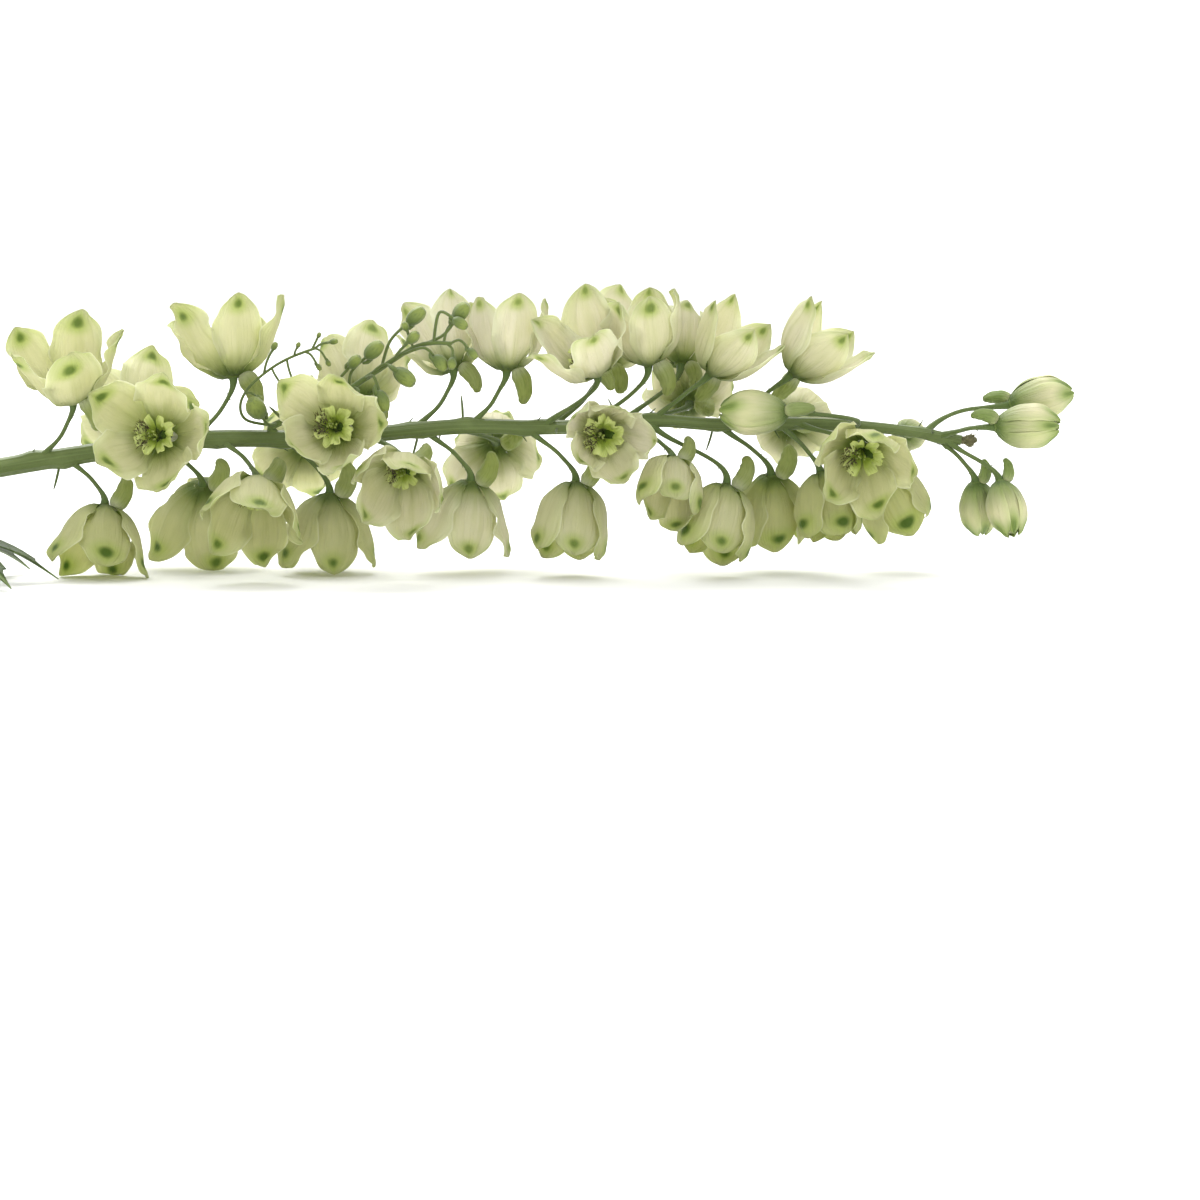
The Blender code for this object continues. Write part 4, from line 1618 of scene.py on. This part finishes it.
@dataclass(frozen=True)
class Stem:
    """The axis with its pedicels, bracts and small hair-like bracts."""

    flowers: tuple[Flower, ...]
    rows: int = 230
    sides: int = 36
    pedicel_radius: float = 0.8
    pedicel_steps: int = 22
    pedicel_shares: tuple[float, ...] = (0.0, 0.12, 0.3, 0.7, 0.88, 1.0)
    pedicel_girths: tuple[float, ...] = (2.0, 1.35, 0.95, 0.95, 1.35, 2.0)  # of its radius, there
    bract_length: float = 8.6
    bract_every: int = 3
    hollow: float = 0.62  # of the radius at the cut

    def axis(self, growth: Growth) -> None:
        """Add the main stem: grooved, with a swelling under each pedicel and a hollow cut.

        Args:
            growth: the mesh that it joins.
        """
        first, last = AXIS.points[0].x, AXIS.points[-1].x
        stations = [lerp(first, last, row / self.rows) for row in range(self.rows + 1)]
        middles = [AXIS.middle(x) for x in stations]
        radii = [AXIS.radius(x) for x in stations]
        frames = carried_sides(middles)
        feet = [(flower.foot, outward(flower.around)) for flower in self.flowers]

        def swell(row: int, turn: float) -> float:
            """Groove the stem, and swell it under each pedicel.

            Args:
                row: the row of the tube.
                turn: the angle round the tube, in radians.

            Returns:
                The factor of its radius there.
            """
            way = frames[row][0] * math.cos(turn) + frames[row][1] * math.sin(turn)
            x = stations[row]
            grooves = 0.035 * math.cos(9 * turn + 0.004 * x) + 0.02 * math.cos(5 * turn + 1)
            grooves += 0.03 * ripple(Vector((x * 0.03, turn, 0)), 1.0, 3.0)
            bump = 0.0
            for foot, out in feet:
                if abs(x - foot) < 9:
                    bump += 0.32 * hump(x, foot - 1.0, 3.0) * max(0.0, way.dot(out)) ** 3
            return 1 + grooves + bump

        growth.tube(
            [middles[0], *middles, middles[-1]],
            [radii[0] * self.hollow, *radii, 0.0],
            self.sides,
            Tone.STEM,
            (0.001, 1.0),
            lambda row, turn: swell(min(max(row - 1, 0), self.rows), turn),
        )
        self.cut(growth, middles, radii)

    def cut(self, growth: Growth, middles: Sequence[Vector], radii: Sequence[float]) -> None:
        """Close the cut end with its pale hollow pith.

        Args:
            growth: the mesh that it joins.
            middles: the points of the axis.
            radii: its radius at each of them.
        """
        inward = (middles[2] - middles[0]).normalized()
        inner = radii[0] * self.hollow
        depths = (8.0, 0.05, 0.05, 0.4, 5.0, 7.0, 7.0)
        widths = (0, radii[0] * 0.97, inner * 1.02, inner * 0.9, inner * 0.8, inner * 0.5, 0)
        line = [middles[0] + inward * depth for depth in depths]
        growth.tube(line, widths, 24, Tone.STEM, (-0.5, -0.4))

    def pedicels(self, growth: Growth) -> None:
        """Add the flower stalks with their small hair-like bracts.

        Args:
            growth: the mesh that it joins.
        """
        for number, flower in enumerate(self.flowers):
            draw = Draws.PEDICEL.of(number)
            line = flower.stalk(self.pedicel_steps)
            shares = [step / self.pedicel_steps for step in range(self.pedicel_steps + 1)]
            bow = draw.uniform(0.5, 1.1)
            for step, share in enumerate(shares):
                held = math.sin(math.pi * share)
                line[step] += TIPWARD * (bow * math.sin(2 * math.pi * share) * held)
                line[step] += outward(90) * (0.3 * ripple(line[step], 0.15, number) * held)
            girths = [between(self.pedicel_shares, self.pedicel_girths, s) for s in shares]
            radii = [self.pedicel_radius * girth for girth in girths]
            growth.tube(
                [line[0], *line, line[-1]],
                [0.0, *radii, 0.0],
                10,
                Tone.PEDICEL,
                (0.0, 1.0),
                lambda row, turn: 1 + 0.08 * math.cos(4 * turn),
            )
            for half_turn in (0.0, math.pi):
                at = draw.uniform(0.6, 0.78)
                root = read_line(line, at)
                heading = (read_line(line, at + 0.08) - root).normalized()
                across = heading.orthogonal().normalized()
                across.rotate(Quaternion(heading, draw.uniform(0, 3) + half_turn))
                way = heading * 0.8 + across * 0.6
                slender_bract(growth, root, way, draw.uniform(2.0, 3.4), 0.2)

    def bracts(self, growth: Growth) -> None:
        """Add the slender bract under the foot of each pedicel.

        Args:
            growth: the mesh that it joins.
        """
        for number, flower in enumerate(self.flowers):
            draw = Draws.BRACT.of(number)
            out = outward(flower.around)
            root = AXIS.middle(flower.foot - 2.5) + out * (AXIS.radius(flower.foot) * 0.8)
            if number % self.bract_every == 1:
                way = out + TIPWARD * draw.uniform(-0.35, 0.1)
                slender_bract(growth, root, way, self.bract_length, 0.8)
            else:
                way = out + TIPWARD * draw.uniform(0.6, 1.4)
                length = self.bract_length * draw.uniform(0.35, 0.5)
                slender_bract(growth, root, way, length, 0.42)

    def build(self, material: bpy.types.Material) -> bpy.types.Object:
        """Build the whole stem as one piece.

        Args:
            material: the stem's finish.

        Returns:
            The piece.
        """
        growth = Growth()
        self.axis(growth)
        self.pedicels(growth)
        self.bracts(growth)
        return growth.finish("grooved_stem", material)


@dataclass(frozen=True)
class Twiglet:
    """A small bud of the side shoot on its stalk."""

    share: float  # where its stalk leaves the twig
    bend: tuple[float, float, float]  # the middle of its stalk, from there
    offset: tuple[float, float, float]  # the bud's base, from there
    length: float  # of the bud


@dataclass(frozen=True)
class SideShoot:
    """A thin branched twig with small green buds and bracts, and a finer twig with tiny ones."""

    root_x: float = -108.0
    around: float = 15.0
    radius: float = 1.3
    spray_radius: float = 0.5
    points: tuple[tuple[float, float, float], ...] = (
        (-90, -7, 58),
        (-76, -10, 67),
        (-60, -13, 77),
        (-49, -15, 78),
    )
    twiglets: tuple[Twiglet, ...] = (
        Twiglet(0.22, (-3, -4, 0), (-5, -7, 3), 9.0),
        Twiglet(0.45, (0, -1, 5), (4, -4, 10), 6.0),
        Twiglet(0.50, (1, -1, 6), (6, -2, 11), 8.0),
        Twiglet(0.58, (3, -5, 1), (5, -7, -4), 8.0),
        Twiglet(0.60, (5, -3, 4), (9, -5, 2), 9.0),
        Twiglet(0.65, (3, 0, 9), (9, -1, 15), 8.0),
        Twiglet(0.72, (8, -4, 3), (12, -5, 0), 6.5),
        Twiglet(0.84, (6, 0, 3), (10, -1, 8), 7.5),
        Twiglet(0.88, (2, -2, 10), (7, -4, 8), 6.0),
        Twiglet(1.00, (3, 0, 1), (6, -1, -2), 4.5),
    )
    small_twiglets: tuple[Twiglet, ...] = (
        Twiglet(0.70, (2, -3, 3), (5, -5, 6), 5.5),
        Twiglet(0.96, (2, -1, -2), (2, -3, -5), 4.5),
        Twiglet(0.52, (2, -3, -1), (1, -6, -5), 6.0),
        Twiglet(0.38, (-2, -2, 3), (-3, -3, 7), 3.6),
        Twiglet(0.78, (-1, -1, 3), (-2, -3, 6), 3.8),
        Twiglet(0.34, (3, -3, 0), (5, -6, -3), 4.2),
        Twiglet(0.94, (1, 1, 4), (3, 2, 7), 4.6),
    )
    spray: tuple[tuple[float, float, float], ...] = (
        (-108, -2, 50),
        (-117, -4, 52),
        (-119, -5, 57),
        (-116, -6, 63),
        (-109, -6, 69),
        (-102, -7, 73),
        (-94, -8, 76),
    )
    sprigs: tuple[Twiglet, ...] = (
        Twiglet(0.45, (2, -1.2, 0), (4, -2, -1), 2.8),
        Twiglet(0.62, (1, -0.6, 4), (3, -1, 8), 3.2),
        Twiglet(0.68, (1, -1, -2), (3, -2, -5), 2.4),
        Twiglet(0.80, (1, -1, -4), (3, -3, -9), 2.8),
        Twiglet(0.86, (0, -1, 1), (1, -3, 3), 2.4),
        Twiglet(0.92, (2, -0.4, -1), (4, -1, -4), 2.8),
        Twiglet(1.00, (2, 0, 1.4), (5, 0, 2), 3.0),
        Twiglet(1.00, (2, -0.8, -1), (4, -2, -4), 2.4),
        Twiglet(0.97, (1, -0.5, 2), (2, -1.4, 4), 2.2),
    )
    bracts: tuple[tuple[float, float, float, float], ...] = (
        (0.25, -4, -5, 5),
        (0.32, 5, -7, 2),
        (0.40, -3, 0, 8),
        (0.24, 4, -5, 5),
        (0.29, -1, -6, 6),
        (0.36, 6, -3, 5),
        (0.42, 4, -6, -3),
        (0.47, -4, -4, 3),
    )

    # A small bud's outline: places along it and radii, as shares of its length
    bud_profile: tuple[tuple[float, float], ...] = (
        (-0.09, 0.0),
        (-0.08, 0.07),
        (-0.04, 0.15),
        (0.03, 0.22),
        (0.12, 0.275),
        (0.22, 0.315),
        (0.33, 0.335),
        (0.43, 0.34),
        (0.53, 0.33),
        (0.63, 0.305),
        (0.72, 0.27),
        (0.8, 0.22),
        (0.85, 0.17),
        (0.87, 0.13),
        (0.865, 0.06),
        (0.83, 0.0),
    )

    def twig(self) -> list[Vector]:
        """Draw the twig's own line, square off the axis and then along its points.

        Returns:
            The line's points.
        """
        out = outward(self.around)
        root = AXIS.middle(self.root_x) + out * (AXIS.radius(self.root_x) - 0.5)
        points = [root, root + out * 2.5] + [Vector(point) for point in self.points]
        return smooth_line(points, 8)

    def small_bud(
        self, growth: Growth, base: Vector, way: Vector, length: float, seed: int
    ) -> None:
        """Add one small ribbed bud with a short blunt spur.

        Args:
            growth: the mesh that it joins.
            base: where its stalk ends.
            way: which way it points.
            length: its length.
            seed: its number.
        """
        way = way.normalized()
        draw = Draws.SMALL_BUD.of(seed)
        stout = draw.uniform(0.88, 1.08)
        line = [base + way * (length * along) for along, _ in self.bud_profile]
        radii = [length * stout * girth for _, girth in self.bud_profile]

        def swell(row: int, turn: float) -> float:
            """Five soft folds, deeper towards the tip."""
            return 1 + (0.015 + 0.005 * row) * math.cos(5 * turn + seed)

        growth.tube(line, radii, 20, Tone.SMALL_BUD, (0.0, 1.0), swell)
        side = way.orthogonal().normalized()
        side.rotate(Quaternion(way, seed * 2.1))
        corners = ((0.08, 0.2), (0.2, 0.04), (0.2, -0.14), (0.13, -0.27))
        horn = [base + side * (a * length) + way * (b * length) for a, b in corners]
        widths = [length * share for share in (0.08, 0.11, 0.1, 0.07)]
        growth.rounded_tube(horn, widths, 8, Tone.PEDICEL)

    def twiglet(self, growth: Growth, line: Sequence[Vector], plan: Twiglet, seed: int) -> None:
        """Add one bud with its stalk.

        Args:
            growth: the mesh that it joins.
            line: the twig that carries it.
            plan: its place.
            seed: its number.
        """
        start = read_line(line, plan.share)
        bend, end = start + Vector(plan.bend), start + Vector(plan.offset)
        stalk = smooth_line([start, bend, end], 7)
        radius = lerp(0.32, 0.52, min(1.0, plan.length / 6))
        growth.rounded_tube(stalk, [radius] * len(stalk), 8, Tone.YOUNG)
        self.small_bud(growth, end, end - stalk[-3], plan.length, seed)

    def build(self, material: bpy.types.Material) -> bpy.types.Object:
        """Build the shoot as one piece.

        Args:
            material: its finish.

        Returns:
            The piece.
        """
        growth = Growth()
        line = self.twig()
        radii = [self.radius * (1 - 0.5 * step / len(line)) for step in range(len(line))]

        def swell(row: int, turn: float) -> float:
            """Shallow grooves."""
            return 1 + 0.06 * math.cos(5 * turn)

        growth.rounded_tube(line, radii, 12, Tone.TWIG, (0.0, 1.0), swell)
        for number, plan in enumerate(self.twiglets + self.small_twiglets):
            self.twiglet(growth, line, plan, number)
        for share, *way in self.bracts:
            root, way = read_line(line, share), Vector(way)
            slender_bract(growth, root, way, way.length, 0.85)
        spray = smooth_line([Vector(point) for point in self.spray], 7)
        growth.rounded_tube(spray, [self.spray_radius] * len(spray), 8, Tone.YOUNG)
        for number, plan in enumerate(self.sprigs):
            self.twiglet(growth, spray, plan, 40 + number)
        return growth.finish("branched_shoot", material)


@dataclass(frozen=True)
class Leaf:
    """A palmate leaf: one drooping blade cut into toothed lobes, on its stalk."""

    number: int
    x: float  # where its stalk leaves the axis
    around: float  # degrees round the axis from straight up, towards the front
    stalk: float  # how far its stalk reaches
    size: float  # of its longest lobes
    lobes: int = 5
    fan: float = 44.0  # degrees from one lobe to the next
    palm: float = 0.06  # where the blade begins, as a share of its reach
    half_thickness: float = 0.2
    outline: tuple[float, ...] = (0.26, 0.66, 1.0, 0.74)  # how far a lobe reaches, edge to edge

    def build(self, material: bpy.types.Material) -> bpy.types.Object:
        """Build the leaf as one piece.

        Args:
            material: its finish.

        Returns:
            The piece.
        """
        out = outward(self.around)
        root = AXIS.middle(self.x) + out * (AXIS.radius(self.x) - 0.6)
        start = root + out * 0.9
        elbow = start + out * 3
        middle = start + out * (self.stalk * 0.5) + Vector((self.stalk * 0.25, 0, 2))
        palm = start + out * (self.stalk * 0.8) + Vector((self.stalk * 0.55, 0, 0))
        heading = palm - middle
        heading.z = 0
        heading.normalize()
        sideways = Vector((-heading.y, heading.x, 0))
        growth = Growth()
        line = smooth_line([root, elbow, middle, palm], 8)
        radii = [lerp(1.25, 0.9, step / len(line)) for step in range(len(line))]
        growth.rounded_tube(line, radii, 10, Tone.LEAF_STALK)
        steps = self.lobes * len(self.outline)

        def surface(share: float, across: float) -> Vector:
            """Shape the blade's middle surface: a fan cut between its lobes, with toothed edges.

            Args:
                share: how far along it, from 0 to 1.
                across: how far across it, from -1 to 1.

            Returns:
                The point there.
            """
            turned = math.asin(max(-1.0, min(1.0, across))) / (math.pi / 2)
            column = (turned + 1) / 2 * steps
            low = int(column)
            first = self.outline[low % len(self.outline)]
            second = self.outline[(low + 1) % len(self.outline)]
            full = lerp(first, second, column - low)
            full -= 0.07 * abs(math.sin(math.pi * column * 1.5)) * min(1.0, 3 * (full - 0.26))
            reach = self.size * full * lerp(self.palm, 1.0, share)
            angle = math.radians(self.fan * self.lobes / 2 * turned)
            droop = 0.35 * reach**2 / self.size
            lobe = column / len(self.outline) % 1.0
            fold = 0.10 * reach * (abs(lobe - 0.5) * 2) * share
            spot = palm + heading * (reach * math.cos(angle)) + sideways * (reach * math.sin(angle))
            lift = fold + 0.9 * ripple(spot, 0.08, self.number)
            return settle(spot + UP * (lift - droop))

        growth.blade(120, 18, surface, lambda share, across: self.half_thickness, Tone.LEAF)
        return growth.finish(f"cut_leaf_{self.number}", material)


LEAVES = (Leaf(1, -240, 112, 34, 44), Leaf(2, -272, 262, 36, 48))


@dataclass(frozen=True)
class DriedTip:
    """The withered end of the axis: a shrivelled knob with small ragged scales."""

    scales: int = 34
    gap: float = 0.3  # how far off the end of the axis it begins
    profile: tuple[tuple[float, float], ...] = (
        (0.0, 1.3),
        (0.8, 1.2),
        (1.8, 1.75),
        (2.8, 1.95),
        (3.6, 1.6),
        (4.2, 0.9),
    )  # places along it and radii

    def build(self, material: bpy.types.Material) -> bpy.types.Object:
        """Build the tip as one piece.

        Args:
            material: its finish.

        Returns:
            The piece.
        """
        draw = Draws.TIP.of()
        growth = Growth()
        root = AXIS.middle(AXIS.points[-1].x) + TIPWARD * self.gap
        knots = smooth_line([Vector((*pair, 0)) for pair in self.profile], 4)
        knob = [root + TIPWARD * knot.x for knot in knots]

        def swell(row: int, turn: float) -> float:
            """Deep shrivelled folds."""
            folds = 0.13 * math.sin(6 * turn + 0.15 * row) + 0.1 * math.sin(3 * turn - 0.3 * row)
            return 1 + folds + 0.05 * math.sin(13 * turn + row)

        growth.rounded_tube(knob, [knot.y for knot in knots], 48, Tone.KNOB, swell=swell)
        for _ in range(self.scales):
            out = outward(draw.uniform(0, 360))
            begin = root + TIPWARD * draw.uniform(0.6, 4.2) + out * 1.2
            way = (out + TIPWARD * draw.uniform(0.2, 2.2)).normalized()
            end = begin + way * draw.uniform(0.8, 2.4)
            middle = begin.lerp(end, 0.5) + outward(draw.uniform(0, 360)) * 0.3
            radii = [draw.uniform(0.12, 0.3), 0.16, 0.05]
            growth.rounded_tube([begin, middle, end], radii, 6, draw.uniform(0, 1))
        return growth.finish("withered_tip", material)


# The studio


@dataclass(frozen=True)
class Studio:
    """A pale floor, soft light and the camera."""

    distance: float = 1.6  # metres from the camera to its aim
    elevation: float = 6.0  # degrees
    lens: float = 144.0
    aim: Vector = Vector((0.0, 0.0, -8.333))  # in the spike's own millimetres

    def camera(self) -> None:
        """Place the camera at the photograph's angle."""
        data = bpy.data.cameras.new("camera")
        data.lens = self.lens
        data.sensor_width = 36.0
        data.clip_end = 50.0
        item = bpy.data.objects.new("camera", data)
        tilt = math.radians(self.elevation)
        back = Vector((0, -math.cos(tilt), math.sin(tilt)))
        item.location = HOME @ self.aim + back * self.distance
        item.rotation_euler = (math.pi / 2 - tilt, 0, 0)
        bpy.context.scene.collection.objects.link(item)
        bpy.context.scene.camera = item

    def floor(self) -> None:
        """Lay a pale floor under the spike."""
        shape = bmesh.new()
        bmesh.ops.create_grid(shape, x_segments=4, y_segments=4, size=12.0)
        mesh = bpy.data.meshes.new("floor")
        shape.to_mesh(mesh)
        shape.free()
        material = bpy.data.materials.new("pale floor")
        material.use_nodes = True
        shader = material.node_tree.nodes["Principled BSDF"]
        shader.inputs["Base Color"].default_value = (0.93, 0.93, 0.92, 1.0)
        shader.inputs["Roughness"].default_value = 0.9
        shader.inputs["Specular IOR Level"].default_value = 0.1
        mesh.materials.append(material)
        item = bpy.data.objects.new("floor", mesh)
        bpy.context.scene.collection.objects.link(item)

    def light(self, name: str, place: Vector, size: float, power: float) -> None:
        """Add a soft square light aimed at the spike.

        Args:
            name: its name.
            place: where it stands, in metres.
            size: its side.
            power: its strength in watts.
        """
        data = bpy.data.lights.new(name, "AREA")
        data.shape = "SQUARE"
        data.size = size
        data.energy = power
        item = bpy.data.objects.new(name, data)
        item.location = place
        item.rotation_euler = (Vector((0, 0, 0.04)) - place).to_track_quat("-Z", "Y").to_euler()
        bpy.context.scene.collection.objects.link(item)

    def build(self) -> None:
        """Set the whole studio."""
        self.camera()
        self.floor()
        self.light("back light", Vector((-0.2, 0.9, 1.3)), 1.2, 30.0)
        self.light("front light", Vector((0.7, -1.5, 1.1)), 1.0, 5.0)
        world = bpy.data.worlds.new("studio")
        world.use_nodes = True
        glow = world.node_tree.nodes["Background"]
        glow.inputs["Color"].default_value = (1.0, 1.0, 1.0, 1.0)
        glow.inputs["Strength"].default_value = 1.14
        bpy.context.scene.world = world
        bpy.context.scene.view_settings.view_transform = "Standard"


PETAL = PetalFinish(
    name="sepal",
    heart=paint(235, 230, 216),
    margin=paint(240, 240, 222),
    claw=paint(164, 176, 88),
    vein=paint(196, 200, 142),
    halo=paint(186, 202, 102),
    point=paint(98, 128, 40),
    spur=paint(176, 185, 122),
    # young: the sepals' young green, which also carries the painted shade of flowers under the axis
    young=paint(205, 209, 132),
    glow=0.58,
    claw_reach=0.34,
    halo_reach=0.13,
    # folds: painted crease shade along the soft folds
    folds=0.2,
    tip=0.22,
)
BUD_PETAL = PetalFinish(
    name="bud",
    heart=paint(232, 226, 188),
    margin=paint(222, 224, 172),
    claw=paint(112, 140, 52),
    vein=paint(184, 196, 116),
    halo=paint(148, 174, 74),
    point=paint(84, 114, 36),
    spur=paint(146, 162, 96),
    young=paint(196, 206, 126),
    glow=0.3,
    claw_reach=0.56,
    halo_reach=0.34,
    # folds: painted crease shade along the soft folds
    folds=0.14,
    tip=0.75,
)
FRILL = FrillFinish("eye", paint(72, 100, 22), paint(184, 204, 82), paint(226, 234, 160))
STALK = StalkFinish(
    "stem",
    old=paint(88, 104, 50),
    young=paint(86, 105, 48),
    pale=paint(118, 134, 76),
    pith=paint(206, 212, 168),
    collar=paint(70, 96, 34),
    bud=paint(176, 190, 112),
    bud_tip=paint(120, 142, 62),
)
SHOOT = StalkFinish(
    "shoot",
    old=paint(96, 116, 58),
    young=paint(92, 110, 50),
    pale=paint(122, 138, 74),
    pith=paint(206, 212, 168),
    collar=paint(70, 96, 34),
    bud=paint(128, 142, 66),
    bud_tip=paint(70, 90, 34),
)
LEAF = LeafFinish("leaf", paint(48, 68, 22), paint(72, 94, 34), paint(108, 130, 62))
DRIED = DriedFinish("dried", paint(68, 58, 38), paint(114, 112, 78))


def dress(piece: bpy.types.Object, slot: str, *nodes: str) -> None:
    """Tie a piece to the frame.

    Args:
        piece: the piece.
        slot: the record's material slot; not used.
        nodes: the solids that it stands for.
    """
    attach(piece, "root")
    if nodes:
        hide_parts(*nodes)
    LOG.info("%s: %d faces", piece.name, len(piece.data.polygons))


def main() -> None:
    """Build the studio and every piece of the spike."""
    logging.basicConfig(level=logging.INFO, format="%(message)s")
    Studio().build()
    surfaces = Surfaces()
    petal, bud, frill = (finish.build(surfaces) for finish in (PETAL, BUD_PETAL, FRILL))
    stalk, shoot, leaf, dried = (finish.build(surfaces) for finish in (STALK, SHOOT, LEAF, DRIED))
    for number, flower in enumerate(BLOOMS, 1):
        dress(Bloom(number, flower).build(petal), "sepal", f"bloom_{number:02d}")
        if flower.openness >= HALF_OPENNESS:
            full = flower.openness >= EYE_OPENNESS
            inner, beard = Eye(number, flower, scale=1.0 if full else 0.8).build(frill, dried)
            dress(inner, "eye", *([f"eye_{number:02d}"] if full else []))
            dress(beard, "dried")
    for number, flower in enumerate(BUDS, 1):
        dress(Bud(number, flower).build(bud), "bud", f"bud_{number:02d}")
    dress(Stem(BLOOMS + BUDS).build(stalk), "stem", "stem")
    dress(SideShoot().build(shoot), "shoot", "side_shoot")
    for plan in LEAVES:
        dress(plan.build(leaf), "leaf", f"leaf_{plan.number}")
    dress(DriedTip().build(dried), "dried", "dried_tip")


if __name__ == "__main__":
    main()
